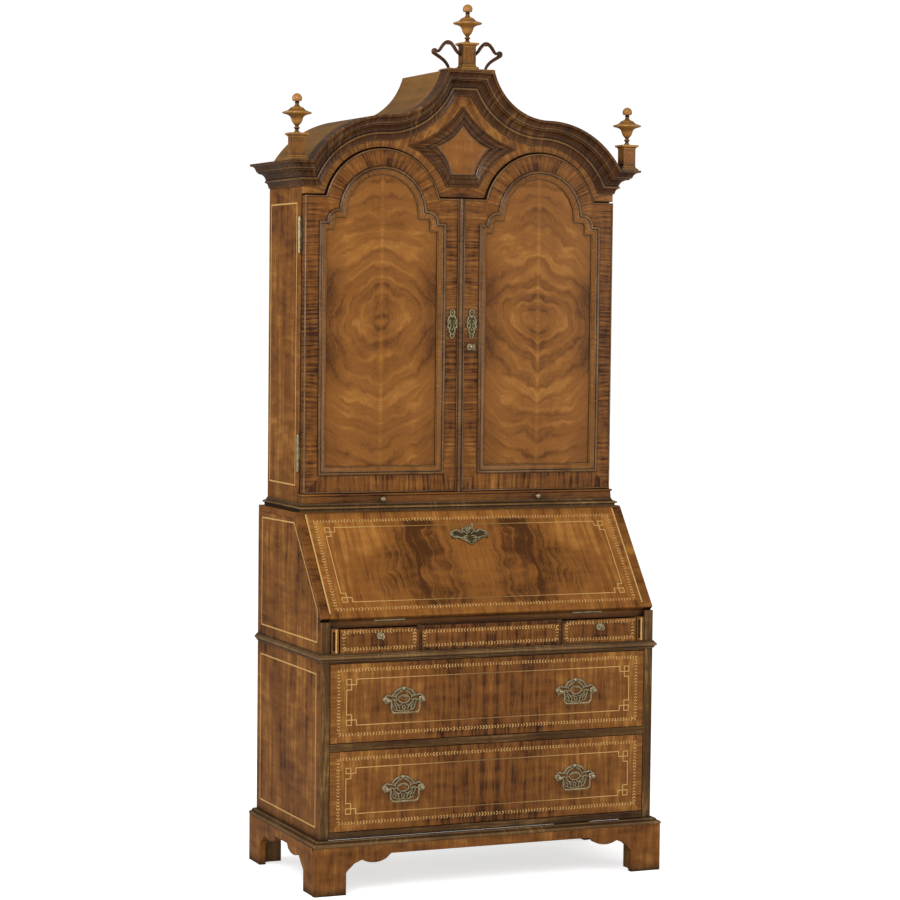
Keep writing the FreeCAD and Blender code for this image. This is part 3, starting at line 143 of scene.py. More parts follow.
class BureauSizes(bpy.types.PropertyGroup):
    """The small sizes that the veneers, inlays and edges are made to."""
    feather_width: length("Feather band width", 0.0125)
    feather_pitch: length("Feather band pitch", 0.0092)
    string_width: length("Stringing width", 0.0024)
    side_line: length("Side line width", 0.0042)
    edge_ease: length("Eased edge", 0.0011)
    inlay_lift: length("Inlay lift", 0.0001)


class BureauFinishes(bpy.types.PropertyGroup):
    """The colours of the woods and the brass."""
    dark_walnut: colour("Dark walnut", 62, 31, 8)
    walnut: colour("Walnut", 128, 77, 26)
    light_walnut: colour("Light walnut", 174, 118, 50)
    panel_dark: colour("Door panel shadow", 82, 46, 14)
    panel_mid: colour("Door panel", 142, 88, 34)
    panel_light: colour("Door panel light", 184, 124, 54)
    moulding_dark: colour("Moulding hollows", 22, 10, 3)
    moulding_mid: colour("Mouldings", 84, 48, 19)
    moulding_light: colour("Moulding ridges", 150, 104, 54)
    roof_dark: colour("Roof shadow", 90, 62, 28)
    roof_tan: colour("Roof veneer", 142, 100, 48)
    roof_light: colour("Light roof veneer", 160, 120, 68)
    oak_dark: colour("Oak shadow", 96, 64, 30)
    oak: colour("Oak", 140, 102, 56)
    oak_light: colour("Light oak", 176, 138, 84)
    inlay: colour("Light inlay", 224, 180, 108)
    brass: colour("Brass", 206, 190, 148)
    brass_mid: colour("Dull brass", 104, 88, 52)
    brass_dark: colour("Brass hollows", 30, 22, 10)
    # Dark polish colour, also painting the shade in crevices, recesses and profile hollows.
    dirt: colour("Old polish and painted shade", 12, 5, 2)
    # Lighter colour for rubbing on edges and for the painted sheen on ridges and edges.
    rubbed: colour("Rubbed edges", 214, 166, 106)


class BureauStage(bpy.types.PropertyGroup):
    """The floor, the lights and the camera."""
    key_power: bpy.props.FloatProperty(
        name="Key light", description="The power of the large soft light", default=112.0, unit="POWER")
    fill_power: bpy.props.FloatProperty(
        name="Fill light", description="The power of the light on the right", default=30.0, unit="POWER")
    sky: bpy.props.FloatProperty(
        name="Sky", description="The strength of the even light all round", default=0.5)
    lens: bpy.props.FloatProperty(
        name="Lens", description="The camera's focal length in millimetres", default=106.96)


# Node trees
def wire(tree, socket, value):
    """Set a socket, or link it where the value is another node's output."""
    if isinstance(value, bpy.types.NodeSocket):
        tree.links.new(value, socket)
    else:
        socket.default_value = value


def node(tree, kind, inputs=(), **settings):
    """A node with its settings and inputs."""
    made = tree.nodes.new(kind)
    for name, value in settings.items():
        setattr(made, name, value)
    for name, value in dict(inputs).items():
        wire(tree, made.inputs[name], value)
    return made


def maths(tree, operation, *values):
    """The output of a Math node."""
    made = tree.nodes.new("ShaderNodeMath")
    made.operation = operation
    for socket, value in zip(made.inputs, values):
        wire(tree, socket, value)
    return made.outputs[0]


def mixed(tree, share, first, second, kind="RGBA", way="MIX"):
    """The output of a Mix node for colours or for numbers."""
    made = tree.nodes.new("ShaderNodeMix")
    made.data_type = kind
    ending = {"RGBA": "Color", "FLOAT": "Float"}[kind]
    if kind == "RGBA":
        made.blend_type = way
    sockets = {socket.identifier: socket for socket in made.inputs}
    wire(tree, sockets["Factor_Float"], share)
    wire(tree, sockets["A_" + ending], first)
    wire(tree, sockets["B_" + ending], second)
    return next(socket for socket in made.outputs if socket.identifier == "Result_" + ending)


def risen(tree, value, low, high, start=0.0, end=1.0):
    """A smooth change from start to end as a value goes from low to high."""
    made = node(
        tree, "ShaderNodeMapRange",
        {"Value": value, "From Min": low, "From Max": high, "To Min": start, "To Max": end},
        interpolation_type="SMOOTHSTEP")
    return made.outputs["Result"]


def packed(tree, x, y, z):
    """A vector from three numbers."""
    return node(tree, "ShaderNodeCombineXYZ", {"X": x, "Y": y, "Z": z}).outputs[0]


def split(tree, vector):
    """The three numbers of a vector."""
    return node(tree, "ShaderNodeSeparateXYZ", {"Vector": vector}).outputs[:3]


def noise(tree, x, y, z, detail, roughness=0.5):
    """Smooth noise at a place given by three numbers already scaled."""
    made = node(
        tree, "ShaderNodeTexNoise",
        {"Vector": packed(tree, x, y, z), "Scale": 1.0, "Detail": detail, "Roughness": roughness})
    return made.outputs[0]


def scaled(tree, value, factor):
    """A number times a factor."""
    return maths(tree, "MULTIPLY", value, factor)


def effect(name, inputs, outputs):
    """An empty shader node group with named sockets: its tree, inputs and outputs."""
    tree = bpy.data.node_groups.new(name, "ShaderNodeTree")
    for way, sockets in (("INPUT", inputs), ("OUTPUT", outputs)):
        for words, sort in sockets.items():
            tree.interface.new_socket(words, in_out=way, socket_type="NodeSocket" + sort)
    entry = tree.nodes.new("NodeGroupInput")
    leave = tree.nodes.new("NodeGroupOutput")
    return tree, entry.outputs, leave.inputs


def placed_effect(tree, group, **inputs):
    """A group put into a material's tree, with its inputs by name."""
    made = tree.nodes.new("ShaderNodeGroup")
    made.node_tree = group
    for name, value in inputs.items():
        wire(tree, made.inputs[name.replace("_", " ").capitalize()], value)
    return made.outputs


def veneer_effect():
    """Straight-grained walnut: streaks, fibres, ripple and pores about a place in the leaf."""
    found = bpy.data.node_groups.get("veneer")
    if found:
        return found
    tree, given, out = effect(
        "veneer",
        {"Across": "Float", "Along": "Float", "Depth": "Float", "Streaks": "Float", "Contrast": "Float",
         "Ripple": "Float", "Figure": "Float", "Dark": "Color", "Middle": "Color", "Light": "Color"},
        {"Color": "Color", "Height": "Float", "Tone": "Float"})
    across, along, depth = given["Across"], given["Along"], given["Depth"]
    drift = noise(tree, scaled(tree, across, 5), scaled(tree, along, 3), scaled(tree, depth, 5), 1)
    wander = maths(tree, "MULTIPLY_ADD", drift, 0.05, across)
    streak_place = scaled(tree, wander, given["Streaks"])
    slow = maths(tree, "MULTIPLY", scaled(tree, along, given["Streaks"]), 0.045)
    streaks = noise(tree, streak_place, slow, scaled(tree, depth, 30), 4, 0.6)
    fibre = noise(tree, scaled(tree, wander, 620), scaled(tree, along, 22), scaled(tree, depth, 600), 2)
    ripple = noise(tree, scaled(tree, across, 16), scaled(tree, along, 48), scaled(tree, depth, 16), 2)
    blotch = noise(tree, scaled(tree, across, 7), scaled(tree, along, 5), scaled(tree, depth, 7), 2)
    tone = maths(tree, "MULTIPLY_ADD", maths(tree, "SUBTRACT", streaks, 0.5), given["Contrast"], 0.5)
    tone = maths(tree, "MULTIPLY_ADD", maths(tree, "SUBTRACT", fibre, 0.5), 0.7, tone)
    tone = maths(tree, "MULTIPLY_ADD", maths(tree, "SUBTRACT", ripple, 0.5), given["Ripple"], tone)
    tone = maths(tree, "MULTIPLY_ADD", maths(tree, "SUBTRACT", blotch, 0.5), 0.9, tone)
    tone = maths(tree, "SUBTRACT", tone, given["Figure"])
    body = mixed(tree, risen(tree, tone, 0.05, 0.52), given["Dark"], given["Middle"])
    body = mixed(tree, risen(tree, tone, 0.5, 1.0), body, given["Light"])
    pore = noise(tree, scaled(tree, across, 1500), scaled(tree, along, 70), scaled(tree, depth, 1500), 1)
    pores = risen(tree, pore, 0.6, 0.7, 0.0, 0.55)
    wire(tree, out["Color"], mixed(tree, pores, body, given["Dark"]))
    wire(tree, out["Height"], maths(tree, "SUBTRACT", fibre, pores))
    wire(tree, out["Tone"], tone)
    return tree


def age_and_shade_effect():
    """Painted shade and dark polish in hollows, painted sheen and rubbing on ridges and edges, and their
    roughness.
    """
    found = bpy.data.node_groups.get("age")
    if found:
        return found
    tree, given, out = effect(
        "age",
        {"Base": "Color", "Dirt": "Color", "Rubbed": "Color", "Depth": "Float", "Reach": "Float",
         "Gloss": "Float", "Wear": "Float"},
        {"Color": "Color", "Roughness": "Float"})
    # Painted shade with dark polish: ambient occlusion darkens crevices, recesses and gaps between parts.
    hidden = node(tree, "ShaderNodeAmbientOcclusion", {"Distance": given["Reach"]}, samples=6)
    closed = risen(tree, hidden.outputs["AO"], 0.42, 0.96, 1.0, 0.0)
    ridge = node(tree, "ShaderNodeAttribute", attribute_name="ridge").outputs["Fac"]
    place = node(tree, "ShaderNodeTexCoord").outputs["Object"]
    x, y, z = split(tree, place)
    patch = noise(tree, scaled(tree, x, 11), scaled(tree, y, 11), scaled(tree, z, 11), 3)
    shade_and_grime = maths(tree, "MULTIPLY", closed, given["Depth"])
    shade_and_grime = maths(tree, "MULTIPLY", shade_and_grime, risen(tree, patch, 0.2, 0.6, 0.75, 1.0))
    # Painted shade in the hollows of a swept profile, from its negative ridge marks.
    hollow = maths(tree, "MAXIMUM", scaled(tree, ridge, -1.0), 0.0)
    shade_and_grime = maths(tree, "MULTIPLY_ADD", hollow, 0.75, shade_and_grime)
    # Eased edges found from the bevel normal take rubbing and a painted sheen, less inside shaded crevices.
    eased = node(tree, "ShaderNodeBevel", {"Radius": 0.0022}, samples=4)
    plain = node(tree, "ShaderNodeNewGeometry")
    bent = node(
        tree, "ShaderNodeVectorMath", {0: eased.outputs[0], 1: plain.outputs["Normal"]},
        operation="DOT_PRODUCT").outputs["Value"]
    edge = maths(tree, "MULTIPLY", risen(tree, bent, 0.995, 0.85), given["Wear"])
    edge = maths(tree, "MULTIPLY", edge, maths(tree, "SUBTRACT", 1.0, closed))
    rubbed = maths(tree, "MAXIMUM", maths(tree, "MAXIMUM", ridge, 0.0), edge)
    # Painted sheen with rubbing: a screen mix towards the lighter colour on ridges and edges.
    bright = mixed(tree, 0.5, given["Base"], given["Rubbed"], way="SCREEN")
    worn_and_sheened = mixed(tree, scaled(tree, rubbed, risen(tree, patch, 0.3, 0.7, 0.25, 0.75)), given["Base"], bright)
    wire(tree, out["Color"], mixed(tree, maths(tree, "MINIMUM", shade_and_grime, 0.93), worn_and_sheened, given["Dirt"]))
    rough = maths(tree, "MULTIPLY_ADD", patch, 0.16, given["Gloss"])
    wire(tree, out["Roughness"], maths(tree, "MULTIPLY_ADD", shade_and_grime, 0.3, rough))
    return tree


def finish_colours():
    """The colours that the finishes are made with."""
    return bpy.context.scene.bureau_finishes


def wood(
        name, pattern, tones, streaks, ripple, contrast=0.9, crevice=0.95, reach=0.035, gloss=0.3, coat=0.1,
        wear=0.6):
    """A polished wood whose pattern gives the place in the leaf and its figure."""
    # crevice sets how dark the painted shade and dark polish in crevices are; the last setting sets the
    # painted sheen and rubbing on edges.
    made = bpy.data.materials.new(name)
    made.use_nodes = True
    tree = made.node_tree
    shader = tree.nodes["Principled BSDF"]
    place = node(tree, "ShaderNodeTexCoord").outputs["Object"]
    across, along, depth, figure = pattern(tree, place)
    finishes = finish_colours()
    dark, middle, light = [tuple(getattr(finishes, tone)) for tone in tones]
    leaf = placed_effect(
        tree, veneer_effect(), across=across, along=along, depth=depth, streaks=streaks,
        contrast=contrast, ripple=ripple, figure=figure, dark=dark, middle=middle, light=light)
    # Painted shade in crevices and hollows, and painted sheen on ridges and edges, over the veneer.
    old = placed_effect(
        tree, age_and_shade_effect(), base=leaf["Color"], dirt=tuple(finishes.dirt), rubbed=tuple(finishes.rubbed),
        depth=crevice, reach=reach, gloss=gloss, wear=wear)
    wire(tree, shader.inputs["Base Color"], old["Color"])
    wire(tree, shader.inputs["Roughness"], old["Roughness"])
    relief = node(tree, "ShaderNodeBump", {"Height": leaf["Height"], "Strength": 0.12, "Distance": 0.0006})
    wire(tree, shader.inputs["Normal"], relief.outputs["Normal"])
    shader.inputs["Coat Weight"].default_value = coat
    shader.inputs["Coat Roughness"].default_value = 0.22
    shader.inputs["Specular IOR Level"].default_value = 0.3
    return made


# Patterns: the place across, along and into the leaf, and the figure's darkness
def upright(tree, place):
    """Grain that stands upright on every face."""
    x, y, z = split(tree, place)
    return maths(tree, "ADD", x, y), z, scaled(tree, y, 0.3), 0.0


def level(tree, place):
    """Grain that runs from side to side."""
    x, y, z = split(tree, place)
    return maths(tree, "ADD", z, y), x, scaled(tree, y, 0.3), 0.0


def deep(tree, place):
    """Grain that runs from front to back."""
    x, y, z = split(tree, place)
    return maths(tree, "ADD", z, x), y, scaled(tree, x, 0.3), 0.0


def cross_grain(tree, place):
    """Short grain across a moulding, from the marks that its sweep leaves."""
    run = node(tree, "ShaderNodeAttribute", attribute_name="run").outputs["Fac"]
    girth = node(tree, "ShaderNodeAttribute", attribute_name="girth").outputs["Fac"]
    return run, girth, 0.0, 0.0


def side_pattern(tree, place):
    """Upright mottled grain with a darker cloud in the middle of each side."""
    x, y, z = split(tree, place)
    cloud = noise(tree, scaled(tree, y, 9), scaled(tree, z, 3.5), scaled(tree, x, 2), 3)
    return y, z, scaled(tree, x, 0.3), risen(tree, cloud, 0.35, 0.7, -0.1, 0.08)


def bordered(tree, x, rise, half_x, half_rise):
    """The places across and along, turned where a crossband closes the ends."""
    out = maths(tree, "ABSOLUTE", x)
    past_end = maths(tree, "SUBTRACT", out, half_x)
    past_edge = maths(tree, "SUBTRACT", maths(tree, "ABSOLUTE", rise), half_rise)
    furthest = maths(tree, "MAXIMUM", past_edge, 0.0)
    at_end = maths(tree, "GREATER_THAN", past_end, furthest)
    at_edge = maths(tree, "GREATER_THAN", past_edge, maths(tree, "MAXIMUM", past_end, 0.0))
    across = mixed(tree, at_end, out, rise, kind="FLOAT")
    along = mixed(tree, at_end, rise, out, kind="FLOAT")
    border = maths(tree, "MAXIMUM", at_end, at_edge)
    return maths(tree, "MULTIPLY_ADD", border, 0.37, across), along, out, border


def drawer_pattern(middle, half_x, half_rise):
    """Book-matched leaves, darker towards their figured middle, inside a crossband."""
    def pattern(tree, place):
        x, y, z = split(tree, place)
        rise = maths(tree, "SUBTRACT", z, middle)
        across, along, out, border = bordered(tree, x, rise, half_x, half_rise)
        cloud = noise(tree, scaled(tree, out, 8), scaled(tree, z, 5), middle, 3, 0.6)
        figure = scaled(tree, risen(tree, out, half_x * 0.8, half_x * 0.25, -0.24, 0.26), cloud)
        feather = noise(tree, scaled(tree, out, 26), scaled(tree, z, 16), 3.0, 3)
        swirl = maths(tree, "MULTIPLY_ADD", feather, risen(tree, out, half_x, 0.0, 0.0, 0.012), across)
        figure = maths(tree, "MULTIPLY_ADD", border, 0.06, figure)
        return swirl, along, scaled(tree, y, 0.3), figure
    return pattern


def fall_pattern(tree, place):
    """Straight grain at the ends of the fall, and a dark burr in the middle of it."""
    turned = node(tree, "ShaderNodeMapping", {
        "Vector": place, "Location": (0.0, 0.0, 0.0), "Rotation": (-SLOPE, 0.0, 0.0)}, vector_type="POINT")
    x, up, out_of = split(tree, turned.outputs[0])
    foot = Matrix.Rotation(-SLOPE, 3, "X") @ Vector((0, FRONT, SLOPE_FOOT * MM))
    rise = maths(tree, "SUBTRACT", up, foot.y + FALL_BURR_UP * MM)
    across, along, out, border = bordered(tree, x, rise, FALL_BAND[0] * MM, FALL_BAND[1] * MM)
    bowl = maths(tree, "MULTIPLY_ADD", maths(tree, "MULTIPLY", rise, rise), -5.0, 0.33)
    bowl = maths(tree, "MULTIPLY_ADD", rise, -0.3, bowl)
    wobble = noise(tree, scaled(tree, out, 8), scaled(tree, rise, 8), 1.0, 3)
    reach = maths(tree, "MULTIPLY_ADD", maths(tree, "SUBTRACT", wobble, 0.5), 0.14, out)
    inside = maths(tree, "SUBTRACT", bowl, reach)
    burr = risen(tree, inside, -0.03, 0.07)
    light_band = maths(tree, "MULTIPLY_ADD", rise, 0.14, 0.045)
    burr = maths(tree, "MULTIPLY", burr, risen(tree, maths(tree, "SUBTRACT", reach, light_band), -0.03, 0.07))
    burr = maths(tree, "MULTIPLY", burr, maths(tree, "SUBTRACT", 1.0, border))
    knots = noise(tree, scaled(tree, out, 13), scaled(tree, rise, 16), 5.0, 2, 0.45)
    swirl = maths(tree, "MULTIPLY", maths(tree, "SUBTRACT", knots, 0.5), scaled(tree, burr, 0.08))
    dark = maths(tree, "MULTIPLY", burr, risen(tree, knots, 0.25, 0.75, 0.2, 0.42))
    edge = risen(tree, maths(tree, "ABSOLUTE", inside), 0.02, 0.0, 0.0, 0.08)
    figure = maths(tree, "ADD", dark, edge)
    figure = maths(tree, "SUBTRACT", figure, 0.06)
    return maths(tree, "ADD", across, swirl), along, scaled(tree, out_of, 0.2), figure


def flame_pattern(tree, place):
    """Crotch figure: uneven rings about the middle of the panel, mirrored on its centre line."""
    x, y, z = split(tree, place)
    side = maths(tree, "SUBTRACT", maths(tree, "ABSOLUTE", x), CREST_X * MM)
    out = maths(tree, "ABSOLUTE", side)
    rise = maths(tree, "SUBTRACT", z, FLAME_Z * MM)
    slant = maths(tree, "ADD", rise, scaled(tree, side, 0.1))
    high = maths(tree, "ABSOLUTE", slant)
    warp = noise(tree, scaled(tree, out, 7), scaled(tree, rise, 6), x, 3, 0.55)
    upward = maths(tree, "POWER", high, FLAME_BEND)
    sideward = maths(tree, "POWER", maths(tree, "MULTIPLY_ADD", out, 0.85, 0.004), FLAME_BEND)
    ring = maths(tree, "POWER", maths(tree, "ADD", upward, sideward), 1 / FLAME_BEND)
    ring = maths(tree, "MULTIPLY_ADD", maths(tree, "SUBTRACT", warp, 0.5), 0.13, ring)
    angle = scaled(tree, maths(tree, "ARCTAN2", out, maths(tree, "ADD", high, 0.01)), 0.12)
    broad = maths(tree, "SINE", maths(tree, "MULTIPLY_ADD", warp, 7.0, scaled(tree, ring, 118)))
    narrow = maths(tree, "SINE", maths(tree, "MULTIPLY_ADD", warp, 9.0, scaled(tree, ring, 270)))
    calm = risen(tree, out, 0.14, 0.1)
    uneven = noise(tree, scaled(tree, out, 9), scaled(tree, rise, 9), x, 2)
    figure = maths(tree, "MULTIPLY_ADD", broad, 0.12, scaled(tree, narrow, 0.06))
    figure = maths(tree, "MULTIPLY", figure, risen(tree, uneven, 0.3, 0.6, 0.35, 1.2))
    figure = maths(tree, "MULTIPLY", figure, maths(tree, "MULTIPLY_ADD", calm, 0.8, 0.2))
    seam = risen(tree, out, 0.009, 0.0, 0.0, 0.14)
    figure = maths(tree, "SUBTRACT", figure, seam)
    # Painted shade: the panel darkens towards its left and right edges, beside the moulding.
    edge = risen(tree, out, 0.09, 0.16, 0.0, 0.2)
    figure = maths(tree, "ADD", figure, edge)
    return ring, angle, scaled(tree, out, 0.6), figure


def door_pattern(tree, place):
    """A crossband that follows the door: level on the stiles, upright below, fanned above."""
    x, y, z = split(tree, place)
    out = maths(tree, "ABSOLUTE", x)
    side = maths(tree, "SUBTRACT", out, CREST_X * MM)
    rise = maths(tree, "SUBTRACT", z, ARCH_Z * MM)
    from_low = maths(tree, "SUBTRACT", z, DOOR_LOW * MM)
    from_edge = maths(tree, "MINIMUM", maths(tree, "SUBTRACT", DOOR_EDGE * MM, out), out)
    low = maths(tree, "LESS_THAN", from_low, from_edge)
    straight = mixed(tree, low, z, x, kind="FLOAT")
    angle = scaled(tree, maths(tree, "ARCTAN2", rise, side), 0.16)
    far = maths(tree, "SQRT", maths(
        tree, "ADD", maths(tree, "MULTIPLY", side, side), maths(tree, "MULTIPLY", rise, rise)))
    high = maths(tree, "GREATER_THAN", rise, 0.0)
    across = mixed(tree, high, straight, angle, kind="FLOAT")
    along = mixed(tree, high, mixed(tree, low, out, z, kind="FLOAT"), far, kind="FLOAT")
    return across, along, scaled(tree, y, 0.3), 0.06


def fan_pattern(tree, place):
    """A crossband fanned about the arch of each door, over the doors."""
    x, y, z = split(tree, place)
    side = maths(tree, "SUBTRACT", maths(tree, "ABSOLUTE", x), CREST_X * MM)
    rise = maths(tree, "SUBTRACT", z, ARCH_Z * MM)
    angle = scaled(tree, maths(tree, "ARCTAN2", rise, side), 0.22)
    far = maths(tree, "SQRT", maths(
        tree, "ADD", maths(tree, "MULTIPLY", side, side), maths(tree, "MULTIPLY", rise, rise)))
    return angle, far, scaled(tree, y, 0.3), -0.08


WALNUT = ("dark_walnut", "walnut", "light_walnut")
PANEL = ("panel_dark", "panel_mid", "panel_light")
MOULDING = ("moulding_dark", "moulding_mid", "moulding_light")
STILE = ("dark_walnut", "roof_dark", "roof_light")
TURNED = ("dark_walnut", "light_walnut", "panel_light")
ROOF = ("roof_dark", "roof_tan", "roof_light")
OAK = ("oak_dark", "oak", "oak_light")


def plain_wood(pattern, tones, streaks, ripple, **settings):
    """A maker for a wood with these settings."""
    return lambda name: wood(name, pattern, tones, streaks, ripple, **settings)


def drawer_wood(middle, half_x, half_rise, streaks):
    """A maker for a drawer's veneer, from its middle and the lines of its band in millimetres."""
    pattern = drawer_pattern(middle * MM, half_x * MM, half_rise * MM)
    return plain_wood(pattern, WALNUT, streaks, 0.5, contrast=1.25, crevice=0.8)


def brass_finish(tone):
    """A maker for old brass, lighter where it stands out from rubbing and a painted sheen, and dark in its
    hollows.
    """
    return lambda name: brass(name, tone)


def brass(name, tone):
    """Brass of that tone, tarnished in patches."""
    made = bpy.data.materials.new(name)
    made.use_nodes = True
    tree = made.node_tree
    shader = tree.nodes["Principled BSDF"]
    finishes = finish_colours()
    x, y, z = split(tree, node(tree, "ShaderNodeTexCoord").outputs["Object"])
    patch = noise(tree, scaled(tree, x, 90), scaled(tree, y, 90), scaled(tree, z, 90), 3)
    tarnish = risen(tree, patch, 0.4, 0.75, 0.0, 0.5)
    main = tuple(getattr(finishes, tone))
    body = mixed(tree, tarnish, main, tuple(finishes.brass_dark))
    # Lighter edges from rubbing and a painted sheen.
    old = placed_effect(
        tree, age_and_shade_effect(), base=body, dirt=tuple(finishes.brass_dark), rubbed=main,
        depth=1.0, reach=0.005, gloss=0.28, wear=0.5)
    wire(tree, shader.inputs["Base Color"], old["Color"])
    wire(tree, shader.inputs["Roughness"], old["Roughness"])
    relief = node(tree, "ShaderNodeBump", {"Height": patch, "Strength": 0.25, "Distance": 0.0008})
    wire(tree, shader.inputs["Normal"], relief.outputs["Normal"])
    shader.inputs["Metallic"].default_value = 0.6
    return made


def line_finish(tone, dark):
    """A maker for the flat colour of a thin inlay, broken by its fibres."""
    def make(name):
        made = bpy.data.materials.new(name)
        made.use_nodes = True
        tree = made.node_tree
        shader = tree.nodes["Principled BSDF"]
        finishes = finish_colours()
        x, y, z = split(tree, node(tree, "ShaderNodeTexCoord").outputs["Object"])
        fibre = noise(tree, scaled(tree, x, 240), scaled(tree, y, 240), scaled(tree, z, 240), 3)
        patch = noise(tree, scaled(tree, x, 14), scaled(tree, y, 14), scaled(tree, z, 14), 2)
        share = maths(tree, "MULTIPLY_ADD", risen(tree, fibre, 0.42, 0.7), 0.4, scaled(tree, patch, 0.35))
        body = mixed(tree, share, tuple(getattr(finishes, tone)), tuple(getattr(finishes, dark)))
        wire(tree, shader.inputs["Base Color"], body)
        wire(tree, shader.inputs["Roughness"], risen(tree, patch, 0.3, 0.7, 0.3, 0.42))
        return made
    return make


FINISHES = {
    "side_veneer": plain_wood(side_pattern, WALNUT, 60, 0.7, contrast=1.1),
    "level_veneer": plain_wood(level, WALNUT, 80, 0.3),
    "rail_veneer": plain_wood(level, STILE, 90, 0.3, contrast=1.2, crevice=0.7),
    "stile_veneer": plain_wood(upright, STILE, 90, 0.3, contrast=1.2),
    "loper_veneer": plain_wood(upright, WALNUT, 80, 0.2),
    "skirt_veneer": plain_wood(upright, WALNUT, 60, 0.8),
    "upper_drawer_veneer": drawer_wood(DRAWER_Z["upper"], *DRAWER_BAND, 95),
    "lower_drawer_veneer": drawer_wood(DRAWER_Z["lower"], *DRAWER_BAND, 88),
    "small_drawer_veneer": drawer_wood(SMALL_DRAWER_Z, PAST_ENDS, SMALL_BAND[1], 110),
    "fall_veneer": plain_wood(fall_pattern, PANEL, 75, 0.4, contrast=1.1, gloss=0.27),
    "flame_veneer": plain_wood(flame_pattern, PANEL, 95, 0.2, contrast=0.6, gloss=0.27),
    "door_crossband": plain_wood(door_pattern, WALNUT, 130, 0.6, contrast=1.8),
    "fanned_crossband": plain_wood(fan_pattern, WALNUT, 130, 0.6, contrast=1.7),
    "pale_crossband": plain_wood(cross_grain, PANEL, 150, 0.2, contrast=1.0),
    # The mouldings take the deepest painted shade in their hollows and the most painted sheen on ridges.
    "dark_moulding": plain_wood(
        cross_grain, MOULDING, 120, 0.2, contrast=1.3, crevice=1.1, reach=0.014, gloss=0.2, coat=0.5,
        wear=1.0),
    "case_moulding": plain_wood(
        cross_grain, STILE, 120, 0.2, contrast=1.1, crevice=1.0, reach=0.014, coat=0.3, wear=1.0),
    "turned_wood": plain_wood(upright, TURNED, 80, 0.3, crevice=1.0, gloss=0.22, coat=0.4),
    "scroll_wood": plain_wood(upright, MOULDING, 80, 0.3, crevice=1.0, gloss=0.22, coat=0.4, wear=0.9),
    "kite_veneer": plain_wood(upright, PANEL, 40, 0.6, contrast=0.5),
    "roof_veneer": plain_wood(deep, ROOF, 30, 0.3, contrast=0.5, crevice=0.4),
    "oak_boards": plain_wood(level, OAK, 55, 0.2, gloss=0.5, coat=0.0, crevice=0.5),
    "oak_upright": plain_wood(upright, OAK, 55, 0.2, gloss=0.5, coat=0.0, crevice=0.5),
    "oak_deep": plain_wood(deep, OAK, 55, 0.2, gloss=0.5, coat=0.0, crevice=0.5),
    "light_inlay": line_finish("inlay", "light_walnut"),
    "old_brass": brass_finish("brass"),
    "brass_hollows": brass_finish("brass_mid"),
}


def finish(name):
    """The material of that name, made the first time that it is asked for."""
    return bpy.data.materials.get(name) or FINISHES[name](name)


# Meshes
class Pile:
    """Points and faces in millimetres that grow into one mesh, with marks on the points."""

    def __init__(self):
        self.points = []
        self.faces = []
        self.marks = {}

    def take(self, points, faces, place=None, **marks):
        first = len(self.points)
        self.points += [(place @ Vector(point)) if place else Vector(point) for point in points]
        self.faces += [[first + index for index in face] for face in faces]
        for name, values in marks.items():
            row = self.marks.setdefault(name, [])
            row += [0.0] * (first - len(row)) + list(values)


def grown(name, pile, crease=38):
    """One mesh object from a pile, with doubles merged and faces turned outwards."""
    mesh = bpy.data.meshes.new(name)
    mesh.from_pydata([(p.x * MM, p.y * MM + FRONT, p.z * MM) for p in pile.points], [], pile.faces)
    for label, values in pile.marks.items():
        layer = mesh.attributes.new(label, "FLOAT", "POINT")
        layer.data.foreach_set("value", values + [0.0] * (len(pile.points) - len(values)))
    work = bmesh.new()
    work.from_mesh(mesh)
    bmesh.ops.remove_doubles(work, verts=work.verts, dist=MERGE)
    bmesh.ops.recalc_face_normals(work, faces=work.faces)
    work.to_mesh(mesh)
    work.free()
    smoothed(mesh, crease)
    piece = bpy.data.objects.new(name, mesh)
    bpy.context.scene.collection.objects.link(piece)
    return piece


def smoothed(mesh, crease):
    """Smooth shading, broken at edges sharper than the crease in degrees."""
    mesh.polygons.foreach_set("use_smooth", [True] * len(mesh.polygons))
    mesh.set_sharp_from_angle(angle=math.radians(crease))
    mesh.update()


def set_on(piece, body, finish_name, slot, *replaced):
    """Give a piece its finish, its body and the nodes that it stands for; the slot is not used."""
    piece.data.materials.clear()
    piece.data.materials.append(finish(finish_name))
    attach(piece, body)
    if replaced:
        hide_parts(*replaced)


def skin(rows, around=True, along=False):
    """Points and faces over rows of points, closed by caps where the rows are open."""
    count = len(rows[0])
    points = [point for row in rows for point in row]
    faces = []
    for index in range(len(rows) if around else len(rows) - 1):
        after = (index + 1) % len(rows)
        for step in range(count if along else count - 1):
            following = (step + 1) % count
            faces.append([
                index * count + step, after * count + step, after * count + following,
                index * count + following])
    if around and not along:
        faces.append([index * count for index in range(len(rows))])
        faces.append([index * count + count - 1 for index in reversed(range(len(rows)))])
    return points, faces


